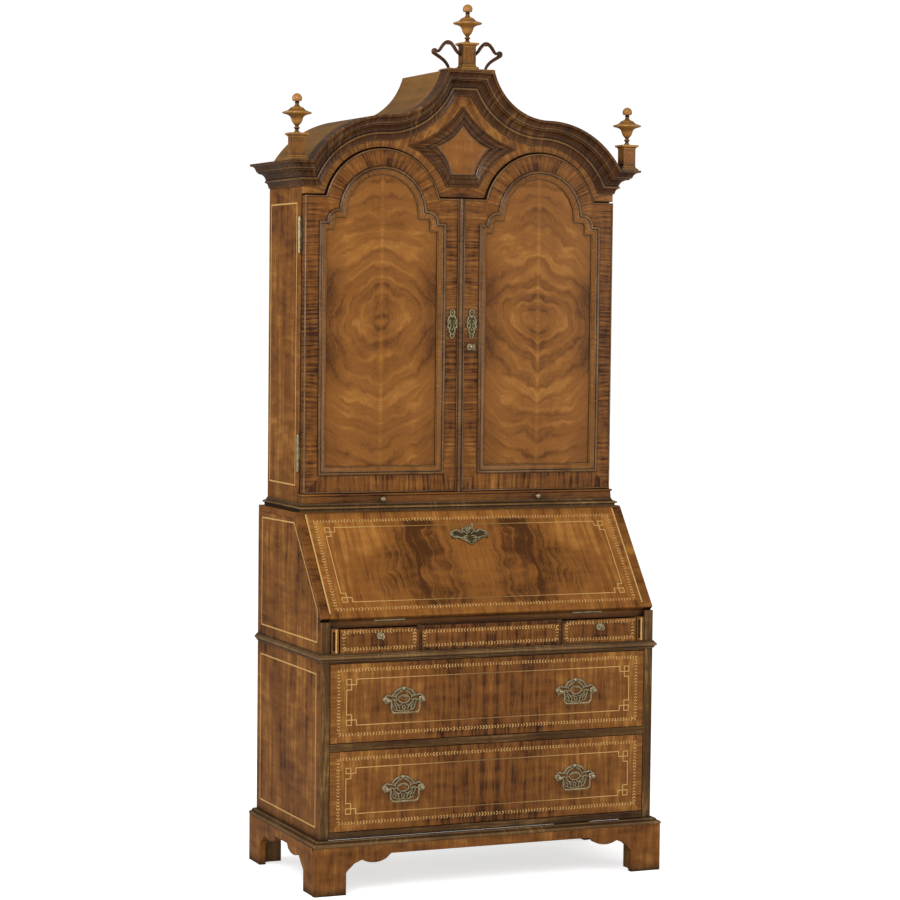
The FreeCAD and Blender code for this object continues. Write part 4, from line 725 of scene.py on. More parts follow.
def arc(start, middle, end, count):
    """Points along the arc through three points, after its start."""
    (ax, ay), (bx, by), (cx, cy) = start, middle, end
    turn = 2 * (ax * (by - cy) + bx * (cy - ay) + cx * (ay - by))
    if abs(turn) < 0.001:
        return [(ax + (cx - ax) * k / count, ay + (cy - ay) * k / count) for k in range(1, count + 1)]
    squares = (ax * ax + ay * ay, bx * bx + by * by, cx * cx + cy * cy)
    ox = (squares[0] * (by - cy) + squares[1] * (cy - ay) + squares[2] * (ay - by)) / turn
    oy = (squares[0] * (cx - bx) + squares[1] * (ax - cx) + squares[2] * (bx - ax)) / turn
    radius = math.dist((ox, oy), start)
    first = math.atan2(ay - oy, ax - ox)
    sweep = (math.atan2(cy - oy, cx - ox) - first) % math.tau
    if (math.atan2(by - oy, bx - ox) - first) % math.tau > sweep:
        sweep -= math.tau
    angles = [first + sweep * k / count for k in range(1, count + 1)]
    return [(ox + radius * math.cos(angle), oy + radius * math.sin(angle)) for angle in angles]


def traced(start, steps, count=ARC_STEPS):
    """Points along an outline of corners and three-point arcs."""
    points = [start]
    for step in steps:
        if isinstance(step[0], tuple):
            points += arc(points[-1], step[0], step[1], count)
        else:
            points.append(step)
    return points


def quarter(start, end, hollow, count=5):
    """A quarter curve between two places of a profile: a hollow or a round."""
    points = []
    for step in range(1, count + 1):
        angle = math.pi / 2 * step / count
        gentle, steep = 1 - math.cos(angle), math.sin(angle)
        out_share, up_share = (gentle, steep) if hollow else (steep, gentle)
        points.append((
            start[0] + (end[0] - start[0]) * out_share, start[1] + (end[1] - start[1]) * up_share))
    return points


def half_round(start, end, out, count=6):
    """A half-round bead between two places of a profile that stands out by a distance."""
    points = []
    for step in range(1, count + 1):
        angle = math.pi * step / count
        share = (1 - math.cos(angle)) / 2
        points.append((
            start[0] + (end[0] - start[0]) * share + out * math.sin(angle),
            start[1] + (end[1] - start[1]) * share))
    return points


def profile_marks(profile):
    """How far each place of a closed profile is a ridge or a hollow, and its girth so far."""
    count = len(profile)
    area = sum(
        profile[k - 1][0] * profile[k][1] - profile[k][0] * profile[k - 1][1] for k in range(count))
    ridges = []
    girths = []
    girth = 0.0
    for index, here in enumerate(profile):
        before, after = profile[index - 1], profile[(index + 1) % count]
        first = math.atan2(here[1] - before[1], here[0] - before[0])
        second = math.atan2(after[1] - here[1], after[0] - here[0])
        turn = (second - first + math.pi) % math.tau - math.pi
        # The ridge marks later paint sheen on convex turns and shade in concave ones.
        ridges.append(math.tanh(turn * math.copysign(1.0, area) * 1.6))
        girths.append(girth * MM)
        girth += math.dist(here, after)
    return ridges, girths


def refined(profile, near=0.8):
    """The profile with places added close to its corners, so that the painted sheen and shade stay near an
    edge.
    """
    places = []
    for index, here in enumerate(profile):
        after = profile[(index + 1) % len(profile)]
        run = math.dist(here, after)
        places.append(here)
        if run > 3 * near:
            for share in (near / run, 1 - near / run):
                places.append(tuple(a + (b - a) * share for a, b in zip(here, after)))
    return places


def moulded(pile, profile, row_of, closed):
    """A moulding: each place of the profile draws one row of the sweep."""
    profile = refined(profile)
    ridges, girths = profile_marks(profile)
    rows = [row_of(out, up) for out, up in profile]
    middle = rows[len(rows) // 2]
    runs = [0.0]
    for before, here in zip(middle, middle[1:]):
        runs.append(runs[-1] + math.dist(before, here) * MM)
    points, faces = skin(rows, along=closed)
    # Each point carries its ridge mark, which paints sheen on ridges and shade in hollows.
    pile.take(
        points, faces,
        ridge=[ridge for ridge in ridges for _ in middle],
        girth=[girth for girth in girths for _ in middle],
        run=runs * len(rows))


def tube(path, radii, sides=8, depth=1.0):
    """A rod along a path, rounded at both ends, drawn in by depth out of the plane."""
    path = [Vector(point) for point in path]
    rows = [[] for _ in range(sides)]
    for index, here in enumerate(path):
        before = path[max(index - 1, 0)]
        after = path[min(index + 1, len(path) - 1)]
        ahead = (after - before).normalized()
        out = Vector((0, 0, 1))
        if abs(ahead.dot(out)) > 0.9:
            out = Vector((0, 1, 0))
        beside = ahead.cross(out).normalized()
        out = beside.cross(ahead).normalized()
        for side in range(sides):
            angle = math.tau * side / sides
            offset = beside * math.cos(angle) + out * (math.sin(angle) * depth)
            rows[side].append(here + offset * radii[index])
    return skin(rows)


def eased_radii(count, thick, thin):
    """Radii that swell in the middle of a path and draw in at its ends."""
    return [thin + (thick - thin) * math.sin(math.pi * (k + 0.5) / count) for k in range(count)]


def curve(points, count=8, closed=False):
    """A smooth line through points in the plane."""
    places = [Vector((p[0], p[1], p[2] if len(p) > 2 else 0.0)) for p in points]
    total = len(places)
    line = []
    for index in range(total if closed else total - 1):
        second = places[index]
        third = places[(index + 1) % total]
        first = places[index - 1] if index or closed else second
        fourth = places[(index + 2) % total] if closed or index + 2 < total else third
        for step in range(count):
            t = step / count
            line.append(0.5 * (
                2 * second + (third - first) * t
                + (2 * first - 5 * second + 4 * third - fourth) * t * t
                + (3 * second - first - 3 * third + fourth) * t ** 3))
    return line if closed else line + [places[-1]]


def lathe(profile, sides=40, turn=0.0, centre=(0, 0, 0)):
    """A turned form about an upright line, from its radii and heights."""
    rows = []
    for side in range(sides):
        angle = turn + math.tau * side / sides
        rows.append([
            (centre[0] + radius * math.cos(angle), centre[1] + radius * math.sin(angle), centre[2] + high)
            for radius, high in profile])
    return skin(rows)


def bead(radius, height, steps=8):
    """The profile of a ball or a button, from its pole to its pole."""
    angles = [math.pi * k / steps for k in range(steps + 1)]
    return [(radius * math.sin(angle), height * (1 - math.cos(angle)) / 2) for angle in angles]


def ribbon(points, width, closed):
    """The two sides of a line of even width with mitred corners, in the plane."""
    count = len(points)
    left, right = [], []
    for index, here in enumerate(points):
        before = points[index - 1] if closed or index else None
        after = points[(index + 1) % count] if closed or index + 1 < count else None
        normals = []
        for start, end in ((before, here), (here, after)):
            if start and end and math.dist(start, end) > 0:
                run = math.dist(start, end)
                normals.append(Vector((-(end[1] - start[1]) / run, (end[0] - start[0]) / run)))
        normal = sum(normals, Vector((0, 0))).normalized()
        reach = width / 2 / max(normal.dot(normals[0]), 0.4)
        left.append((here[0] + normal.x * reach, here[1] + normal.y * reach))
        right.append((here[0] - normal.x * reach, here[1] - normal.y * reach))
    return left, right


def strip(pile, points, width, lift, closed=True, place=None, sunk=0.3):
    """A thin inlaid line along points in the plane, from just under the surface to its lift."""
    left, right = ribbon(points, width, closed)
    rows = [
        [(x, y, lift) for x, y in left], [(x, y, lift) for x, y in right],
        [(x, y, -sunk) for x, y in right], [(x, y, -sunk) for x, y in left]]
    made, faces = skin(rows, along=closed)
    pile.take(made, faces, place=place)


def on_front(y, x=0.0, z=0.0):
    """The place of a drawing on an upright face at y, with its middle at x and z."""
    return Matrix.Translation((x, y, z)) @ Matrix.Rotation(math.pi / 2, 4, "X")


def on_slope(x=0.0, along=0.0):
    """The place of a drawing on the slope of the fall."""
    slope = Matrix.Rotation(SLOPE, 4, "X")
    return Matrix.Translation((0, 0, SLOPE_FOOT)) @ slope @ Matrix.Translation((x, along, 0))


def on_side(x, side):
    """The place of a drawing on a side: across is y, up is z."""
    return Matrix(((0, 0, side, x), (1, 0, 0, 0), (0, 1, 0, 0), (0, 0, 0, 1)))


def softened(name, finish_name, slot, ease=None, bands=()):
    """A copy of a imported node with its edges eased, which stands for the node.

    Each band is a depth from the front and the finish of the faces that lie further back."""
    work = bmesh.new()
    work.from_mesh(frame["nodes"][name].data)
    bmesh.ops.remove_doubles(work, verts=work.verts, dist=MERGE)
    bmesh.ops.dissolve_limit(
        work, angle_limit=math.radians(0.6), verts=work.verts, edges=work.edges)
    work.verts.index_update()
    mesh = bpy.data.meshes.new(name + "_dressed")
    mesh.from_pydata(
        [vertex.co[:] for vertex in work.verts], [],
        [[vertex.index for vertex in face.verts] for face in work.faces])
    work.free()
    piece = bpy.data.objects.new(name + "_dressed", mesh)
    bpy.context.scene.collection.objects.link(piece)
    set_on(piece, BODY_OF[name], finish_name, slot, name)
    for index, (depth, other) in enumerate(bands, start=1):
        mesh.materials.append(finish(other))
        for face in mesh.polygons:
            if face.center.y > FRONT + depth * MM:
                face.material_index = index
    smoothed(mesh, 30)
    easing = piece.modifiers.new("eased edges", "BEVEL")
    easing.width = ease if ease is not None else bpy.context.scene.bureau_sizes.edge_ease
    easing.segments = 2
    easing.limit_method = "ANGLE"
    easing.angle_limit = math.radians(32)
    easing.use_clamp_overlap = True
    return piece


def hollowed(piece, half_x, low):
    """Give the dull brass to the plate near the middle and above a height, under its scrolls."""
    piece.data.materials.append(finish("brass_hollows"))
    for face in piece.data.polygons:
        if abs(face.center.x) < half_x * MM and face.center.z > low * MM:
            face.material_index = 1


def dressed(name, finish_name):
    """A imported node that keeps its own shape, with a finish."""
    piece = frame["nodes"][name]
    piece.data.materials.clear()
    piece.data.materials.append(finish(finish_name))


# Outlines
def ogee(offset, half):
    """The serpentine line at an offset above the cornice's lower edge, left to right."""
    low = CORNICE_LOW + offset
    convex = CREST_RADIUS + offset
    concave = HOLLOW_RADIUS - offset
    upper_z = CREST_Z + CREST_RADIUS + HOLLOW_RADIUS
    top = PLATFORM_LOW + offset
    foot_x = CREST_X + math.sqrt(convex ** 2 - (low - CREST_Z) ** 2)
    head_x = CREST_X - math.sqrt(concave ** 2 - (upper_z - top) ** 2)
    foot = math.atan2(low - CREST_Z, foot_x - CREST_X)
    head = math.atan2(top - upper_z, head_x - CREST_X)
    bend = (foot + math.pi / 2) / 2
    dip = (head - math.pi / 2) / 2
    crest = CREST_Z + convex
    convex_mid = (CREST_X + convex * math.cos(bend), CREST_Z + convex * math.sin(bend))
    concave_mid = (CREST_X + concave * math.cos(dip), upper_z + concave * math.sin(dip))
    left = [
        (-foot_x, low), ((-convex_mid[0], convex_mid[1]), (-CREST_X, crest)),
        ((-concave_mid[0], concave_mid[1]), (-head_x, top))]
    right = [(head_x, top), (concave_mid, (CREST_X, crest)), (convex_mid, (foot_x, low)), (half, low)]
    return traced((-half, low), left + right, 20)


def door_outline(side, inset):
    """A door's outline, drawn in from its edge by an inset."""
    outer = side * (DOOR_EDGE - inset)
    inner = DOOR_MEETING + side * (DOOR_GAP / 2 + inset)
    low = DOOR_LOW + inset
    shoulder = DOOR_SHOULDER - inset
    radius = DOOR_ARCH - inset
    reach = math.sqrt(radius ** 2 - (shoulder - ARCH_Z) ** 2)
    middle = side * CREST_X
    return traced((inner, low), [
        (outer, low), (outer, shoulder), (middle + side * reach, shoulder),
        ((middle, ARCH_Z + radius), (middle - side * reach, shoulder)), (inner, shoulder)], 28)


def panel_outline(side, inset):
    """The eared and arched outline of a door's panel, drawn in by an inset."""
    middle = side * CREST_X
    half, low, line = 197 - inset, 1163 + inset, 1895
    shoulder, ear, ear_top = line - inset, 174 - inset, 1931 - inset
    radius, centre = 137 - inset, 1920
    ear_radius = ear_top - line
    rise = max(ear_top - centre, 0)
    reach = math.sqrt(radius ** 2 - rise ** 2)
    bend = ear_radius * math.sqrt(0.5)
    turn = ear - ear_radius
    springing = centre + rise
    start = (middle - half, low)
    left = [
        (middle - half, shoulder), (middle - ear, shoulder), (middle - ear, line),
        ((middle - turn - bend, line + bend), (middle - turn, ear_top)),
        (middle - reach, ear_top), (middle - reach, springing)]
    right = [
        ((middle, centre + radius), (middle + reach, springing)), (middle + reach, ear_top),
        (middle + turn, ear_top), ((middle + turn + bend, line + bend), (middle + ear, line)),
        (middle + ear, shoulder), (middle + half, shoulder), (middle + half, low)]
    return traced(start, left + right, 12)


def kite_outline(top, half, side_z, foot_half, low):
    """The kite with hollow sides, from its top round."""
    upper = (half * 0.45, side_z + (top - side_z) * 0.45 * 0.82)
    lower = (foot_half + (half - foot_half) * 0.4, low + (side_z - low) * 0.61)
    return traced((0, top), [
        (upper, (half, side_z)), (lower, (foot_half, low)), (-foot_half, low),
        ((-lower[0], lower[1]), (-half, side_z)), ((-upper[0], upper[1]), (0, top))], 12)[:-1]


def cornice_profile():
    """The cornice's section from the foot up, from shares of its reach and height."""
    shares = (
        [(0, 0), (0.06, 0), (0.06, 0.03)] + quarter((0.08, 0.05), (0.22, 0.23), True)
        + half_round((0.22, 0.24), (0.2, 0.33), 0.05) + [(0.2, 0.35)]
        + quarter((0.23, 0.36), (0.57, 0.6), True, 8) + [(0.6, 0.6), (0.6, 0.655)]
        + quarter((0.63, 0.66), (0.7, 0.72), False, 4) + quarter((0.72, 0.73), (0.95, 0.9), True, 6)
        + [(1, 0.91), (1, 1), (0, 1)])
    return [(out * CORNICE_OUT, up * CORNICE_HIGH) for out, up in shares]


# Operators
class PieceOperator:
    """What every operator of the bureau shares."""
    bl_options = {"REGISTER", "UNDO"}

    def execute(self, context):
        self.make(context.scene)
        return {"FINISHED"}


class BUREAU_OT_case(PieceOperator, bpy.types.Operator):
    """Dress the boards, lopers, slides and small drawers in veneer, with eased edges"""
    bl_idname = "bureau.case"
    bl_label = "Case boards"

    def make(self, scene):
        for word in ("left", "right"):
            softened(f"lower_side_{word}", "stile_veneer", "walnut", None, ((1, "side_veneer"),))
            softened(f"upper_side_{word}", "side_veneer", "walnut")
            softened(f"loper_{word}", "loper_veneer", "walnut", 0.0006, ((12, "oak_deep"),))
            softened(f"candle_slide_{word}", "level_veneer", "walnut", 0.0006, ((249, "oak_deep"),))
        softened("drawer_rails", "rail_veneer", "walnut", 0.002)
        softened("writing_board", "level_veneer", "walnut")
        softened("bureau_top", "level_veneer", "walnut", 0.002)
        softened("skirt", "skirt_veneer", "walnut", 0.0015)
        softened("upper_base", "level_veneer", "walnut")
        softened("cupboard_boards", "level_veneer", "oak", 0.002, ((270, "oak_boards"),))
        softened("tympanum", "fanned_crossband", "crossbanded_walnut")
        softened("roof_shell", "roof_veneer", "walnut")
        softened("centre_panel", "small_drawer_veneer", "figured_walnut")
        for word in ("left", "right"):
            softened(f"small_drawer_{word}", "small_drawer_veneer", "walnut", 0.0012, ((18.5, "oak_deep"),))
        softened("row_partitions", "rail_veneer", "oak", 0.0008, ((25, "oak_deep"),))


class BUREAU_OT_interior(PieceOperator, bpy.types.Operator):
    """Give the backs, boxes and pigeonholes their oak"""
    bl_idname = "bureau.interior"
    bl_label = "Oak inside"

    def make(self, scene):
        softened("pigeonholes", "oak_deep", "oak", 0.0008)
        for name in ("lower_back", "upper_back", "foot_blocks"):
            dressed(name, "oak_upright")
        for word in ("upper", "lower"):
            dressed(f"{word}_drawer_box", "oak_boards")
        for word in ("left", "right"):
            softened(f"gallery_drawer_{word}", "level_veneer", "oak", 0.0008, ((308.5, "oak_deep"),))


class BUREAU_OT_drawers(PieceOperator, bpy.types.Operator):
    """Veneer the long drawer fronts and the fall"""
    bl_idname = "bureau.drawers"
    bl_label = "Drawer fronts and fall"

    def make(self, scene):
        for word in ("upper", "lower"):
            softened(f"{word}_drawer_front", f"{word}_drawer_veneer", "figured_walnut", 0.0022)
        softened("fall_board", "fall_veneer", "figured_walnut", 0.0018)


class BUREAU_OT_doors(PieceOperator, bpy.types.Operator):
    """Veneer the doors: crossbanded frames and flame panels"""
    bl_idname = "bureau.doors"
    bl_label = "Doors"

    def make(self, scene):
        for word in ("left", "right"):
            softened(f"door_{word}_frame", "door_crossband", "crossbanded_walnut")
            softened(f"door_{word}_panel", "flame_veneer", "figured_walnut", 0.0004)


class BUREAU_OT_door_mouldings(PieceOperator, bpy.types.Operator):
    """Sweep the mouldings of the doors: panel frames, edge beads and the astragal"""
    bl_idname = "bureau.door_mouldings"
    bl_label = "Door mouldings"

    def make(self, scene):
        reeded = (
            [(0, 7.9), (0, -1.2)] + quarter((0.3, -1.6), (2.4, -4.6), True, 3)
            + [(3.6, -5), (5.4, -4.6), (7, -3.2), (7.6, -1.8), (8.6, -1.6), (9.6, -2.4), (11, -2.6)]
            + [(12.2, -1.8), (12.6, -0.2), (12.6, 7.9)])
        banded = [
            (12.7, 7.9), (12.7, -0.4), (13.6, 0.2), (20.4, 3.4), (21.6, 3.6), (22, 4.6), (22.8, 4.8),
            (23.4, 4), (24.4, 4), (25, 5.4), (25, 7.9)]
        for side, word in ((-1, "left"), (1, "right")):
            pile = Pile()
            moulded(pile, reeded, self.on_panel(side), True)
            bead_profile = [(0, 0)] + [
                (2.25 * (1 - math.cos(a)), -3 * math.sin(a)) for a in (0.5, 1.05, 1.57, 2.1, 2.64)]
            moulded(pile, bead_profile + [(4.5, 0)], self.on_edge(side), True)
            if side < 0:
                self.astragal(pile)
            piece = grown(f"door_{word}_moulding_sweep", pile)
            set_on(piece, f"door_{word}", "dark_moulding", "moulded_walnut", f"door_{word}_mouldings")
            pale = Pile()
            moulded(pale, banded, self.on_panel(side), True)
            piece = grown(f"door_{word}_crossbanded_strip", pale)
            set_on(piece, f"door_{word}", "pale_crossband", "moulded_walnut")

    def on_panel(self, side):
        def row_of(inset, depth):
            row = panel_outline(side, inset)
            return [(x, DOOR_Y + depth, z) for x, z in row]
        return row_of

    def on_edge(self, side):
        def row_of(inset, depth):
            return [(x, DOOR_Y + depth, z) for x, z in door_outline(side, inset)]
        return row_of

    def astragal(self, pile):
        """The upright strip on the left door that covers the meeting."""
        right = DOOR_MEETING - DOOR_GAP / 2
        width, out = 17.5, 10
        section = [
            (0, 0), (0, -3), (1.2, -4), (2.6, -4), (3.4, -6), (5, -8.4), (7, -9.7), (8.75, -out),
            (10.5, -9.7), (12.5, -8.4), (14.1, -6), (14.9, -4), (16.3, -4), (width, -3), (width, 0)]

        def row_of(across, depth):
            x = right - width + across
            return [(x, DOOR_Y + depth, z) for z in (DOOR_LOW, DOOR_SHOULDER)]

        moulded(pile, section, row_of, False)


class BUREAU_OT_mouldings(PieceOperator, bpy.types.Operator):
    """Sweep the mouldings round the two cases"""
    bl_idname = "bureau.mouldings"
    bl_label = "Case mouldings"

    def make(self, scene):
        base = (
            [(0, 0), (22, 0)] + half_round((22.6, 0.4), (22.6, 8), 1.4) + [(21.4, 9)]
            + quarter((20.6, 9.4), (13, 15.6), False) + [(12, 16.4), (0, 17)])
        waist = (
            [(0, 0), (3.4, 0), (3.6, 2.2)] + quarter((4.2, 3), (7, 6.2), True, 4)
            + half_round((7.2, 6.6), (7.2, 14.4), 2.8) + quarter((7, 14.8), (4.2, 18), True, 4)
            + [(3.4, 18.8), (3.4, 21), (0, 21)])
        upper = (
            [(0, 0), (9.6, 0), (9.6, 6.8)] + half_round((10.2, 7.4), (10.2, 14.6), 5.8)
            + [(9, 15.2)] + quarter((8.6, 15.4), (3, 20.6), False) + [(2.4, 21.2), (2.4, 23), (0, 23)])
        rows = (
            ("base_moulding", base, 137, CASE_HALF, 0), ("waist_moulding", waist, 657.5, CASE_HALF, 0),
            ("upper_base_moulding", upper, BUREAU_TOP, UPPER_HALF, 235))
        for name, profile, low, half, face in rows:
            pile = Pile()
            moulded(pile, profile, self.round_case(half, face, low), False)
            set_on(grown(name + "_sweep", pile), "root", "case_moulding", "moulded_walnut", name)

    def round_case(self, half, face, low):
        """A row round the left side, the front and the right side of a case."""
        def row_of(out, up):
            reach = half + out
            z = low + up
            return [
                (-reach, CASE_DEPTH, z), (-reach, face - out, z), (reach, face - out, z),
                (reach, CASE_DEPTH, z)]
        return row_of


class BUREAU_OT_cornice(PieceOperator, bpy.types.Operator):
    """Sweep the serpentine cornice with its returns"""
    bl_idname = "bureau.cornice"
    bl_label = "Cornice"

    def make(self, scene):
        def row_of(out, up):
            reach = UPPER_HALF + out
            y = TYMPANUM_Y - out
            front = [(x, y, z) for x, z in ogee(up, reach)]
            ends = [(side * reach, CASE_DEPTH, CORNICE_LOW + up) for side in (-1, 1)]
            return [ends[0]] + front + [ends[1]]
        pile = Pile()
        moulded(pile, cornice_profile(), row_of, False)
        set_on(grown("cornice_sweep", pile), "root", "dark_moulding", "moulded_walnut", "cornice")


class BUREAU_OT_kite(PieceOperator, bpy.types.Operator):
    """Shape the kite's moulded frame and its raised panel"""
    bl_idname = "bureau.kite"
    bl_label = "Kite panel"

    def make(self, scene):
        outer = kite_outline(2236, 171, 2117, 52, 2003)
        inner = kite_outline(2179, 80, 2116, 36, 2039)
        band = 60

        def row_of(across, out):
            share = across / band
            return [
                (a[0] + (b[0] - a[0]) * share, TYMPANUM_Y - out, a[1] + (b[1] - a[1]) * share)
                for a, b in zip(outer, inner)]
        section = [
            (0, 0), (0, 3), (2, 4.5), (7, 4.5), (9, 6.5), (13, 9.4), (19, 11.6), (26, 12), (32, 10.6),
            (35, 7.6), (38, 6.6), (42, 7.4), (46, 7.6), (50, 6.4), (52, 4), (55, 3.8), (58, 5), (60, 4.8),
            (60, 0)]
        pile = Pile()
        moulded(pile, section, row_of, True)
        piece = grown("kite_moulding", pile)
        set_on(piece, "root", "dark_moulding", "moulded_walnut", "kite_frame")
        panel = Pile()
        field = kite_outline(2168, 66, 2115, 31, 2046)
        rim = [(x, TYMPANUM_Y - 4, z) for x, z in inner]
        rise = [(x, TYMPANUM_Y - 5.4, z) for x, z in field]
        back = [(x, TYMPANUM_Y, z) for x, z in inner]
        points, faces = skin([back, rim, rise], around=False, along=True)
        count = len(rim)
        faces += [list(range(count)), [2 * count + index for index in reversed(range(count))]]
        panel.take(points, faces)
        set_on(grown("kite_panel", panel), "root", "kite_veneer", "walnut")


class BUREAU_OT_feather(PieceOperator, bpy.types.Operator):
    """Lay the uneven feather bands on the drawers, the middle panel and the fall"""
    bl_idname = "bureau.feather"
    bl_label = "Feather bands"

    def make(self, scene):
        sizes = scene.bureau_sizes
        tree = self.tree()
        for name, body, half_x, half_up, place in feather_places():
            unit = self.chevron(name + "_feather", sizes)
            laid = unit.modifiers.new("feather", "NODES")
            laid.node_group = tree
            turn = place.to_euler()
            spot = place.translation
            values = {
                "Width": 2 * half_x * MM, "Height": 2 * half_up * MM, "Pitch": sizes.feather_pitch,
                "Uneven": FEATHER_UNEVEN_SHARE, "Seed": len(name), "Turn": tuple(turn),
                "Place": (spot.x * MM, spot.y * MM + FRONT, spot.z * MM),
                "Finish": finish("light_inlay")}
            for socket in tree.interface.items_tree:
                if socket.item_type == "SOCKET" and socket.name in values:
                    laid[socket.identifier] = values[socket.name]
            baked(unit)
            set_on(unit, body, "light_inlay", "figured_walnut")

    def chevron(self, name, sizes):
        """One pair of slanting slips, as long as the pitch, about the middle of the band."""
        width = sizes.feather_width / MM
        pitch = sizes.feather_pitch / MM
        pile = Pile()
        reach = width / 2 - 1.0
        slip = pitch * 0.36
        lean = reach * 0.75
        for side in (-1, 1):
            flat = [(0, 0.25 * side), (slip, 0.25 * side), (slip - lean, side * reach), (-lean, side * reach)]
            rows = [[(x, y, -0.2), (x, y, 0.13)] for x, y in flat]
            pile.take(*skin(rows))
        mesh = bpy.data.meshes.new(name)
        mesh.from_pydata([tuple(point * MM) for point in pile.points], [], pile.faces)
        work = bmesh.new()
        work.from_mesh(mesh)
        bmesh.ops.recalc_face_normals(work, faces=work.faces)
        work.to_mesh(mesh)
        work.free()
        piece = bpy.data.objects.new(name, mesh)
        bpy.context.scene.collection.objects.link(piece)
        return piece

    def tree(self):
        """Geometry nodes that repeat a slip pair round a rectangle and lay it in its place."""
        made = bpy.data.node_groups.new("feather band", "GeometryNodeTree")
        made.interface.new_socket("Geometry", in_out="INPUT", socket_type="NodeSocketGeometry")
        made.interface.new_socket("Seed", in_out="INPUT", socket_type="NodeSocketInt")
        for words in ("Width", "Height", "Pitch", "Uneven"):
            made.interface.new_socket(words, in_out="INPUT", socket_type="NodeSocketFloat")
        for words in ("Place", "Turn"):
            made.interface.new_socket(words, in_out="INPUT", socket_type="NodeSocketVector")
        made.interface.new_socket("Finish", in_out="INPUT", socket_type="NodeSocketMaterial")
        made.interface.new_socket("Geometry", in_out="OUTPUT", socket_type="NodeSocketGeometry")
        given = made.nodes.new("NodeGroupInput").outputs
        frame_line = node(
            made, "GeometryNodeCurvePrimitiveQuadrilateral",
            {"Width": given["Width"], "Height": given["Height"]}, mode="RECTANGLE")
        spaced = node(
            made, "GeometryNodeResampleCurve",
            {"Curve": frame_line.outputs[0], "Length": given["Pitch"]}, mode="LENGTH")
        tangent = node(made, "GeometryNodeInputTangent")
        turned = node(
            made, "FunctionNodeAlignRotationToVector", {"Vector": tangent.outputs[0]}, axis="X",
            pivot_axis="Z")
        least = maths(made, "SUBTRACT", 1.0, given["Uneven"])
        spread = made.nodes.new("FunctionNodeRandomValue")
        spread.data_type = "FLOAT"
        floats = [socket for socket in spread.inputs if socket.type == "VALUE"]
        wire(made, floats[0], least)
        wire(made, floats[1], 1.08)
        wire(made, spread.inputs["Seed"], given["Seed"])
        size = [socket for socket in spread.outputs if socket.type == "VALUE"][0]
        slips = node(made, "GeometryNodeInstanceOnPoints", {
            "Points": spaced.outputs[0], "Instance": given["Geometry"], "Rotation": turned.outputs[0],
            "Scale": packed(made, size, size, 1.0)})
        real = node(made, "GeometryNodeRealizeInstances", {"Geometry": slips.outputs[0]})
        moved = node(made, "GeometryNodeTransform", {
            "Geometry": real.outputs[0], "Translation": given["Place"], "Rotation": given["Turn"]})
        coloured = node(made, "GeometryNodeSetMaterial", {
            "Geometry": moved.outputs[0], "Material": given["Finish"]})
        leave = made.nodes.new("NodeGroupOutput")
        made.links.new(coloured.outputs[0], leave.inputs[0])
        return made


def baked(piece):
    """Turn the result of a piece's modifiers into its plain mesh."""
    sight = bpy.context.evaluated_depsgraph_get()
    mesh = bpy.data.meshes.new_from_object(piece.evaluated_get(sight))
    piece.modifiers.clear()
    old = piece.data
    piece.data = mesh
    bpy.data.meshes.remove(old)


def feather_places():
    """Each feather band: name, body, half width, half height and the place of its middle."""
    rows = [
        ("upper_drawer", "upper_drawer", *DRAWER_BAND, on_front(0, 0, DRAWER_Z["upper"])),
        ("lower_drawer", "lower_drawer", *DRAWER_BAND, on_front(0, 0, DRAWER_Z["lower"])),
        ("middle_panel", "root", *MIDDLE_BAND, on_front(0, 0, MIDDLE_PANEL_Z)),
        ("fall", "fall", *FALL_BAND, on_slope(0, FALL_MIDDLE))]
    for side, word in ((-1, "left"), (1, "right")):
        place = on_front(0, side * SMALL_DRAWER_X, SMALL_DRAWER_Z)
        rows.append((f"small_drawer_{word}", f"small_drawer_{word}", *SMALL_BAND, place))
    return rows


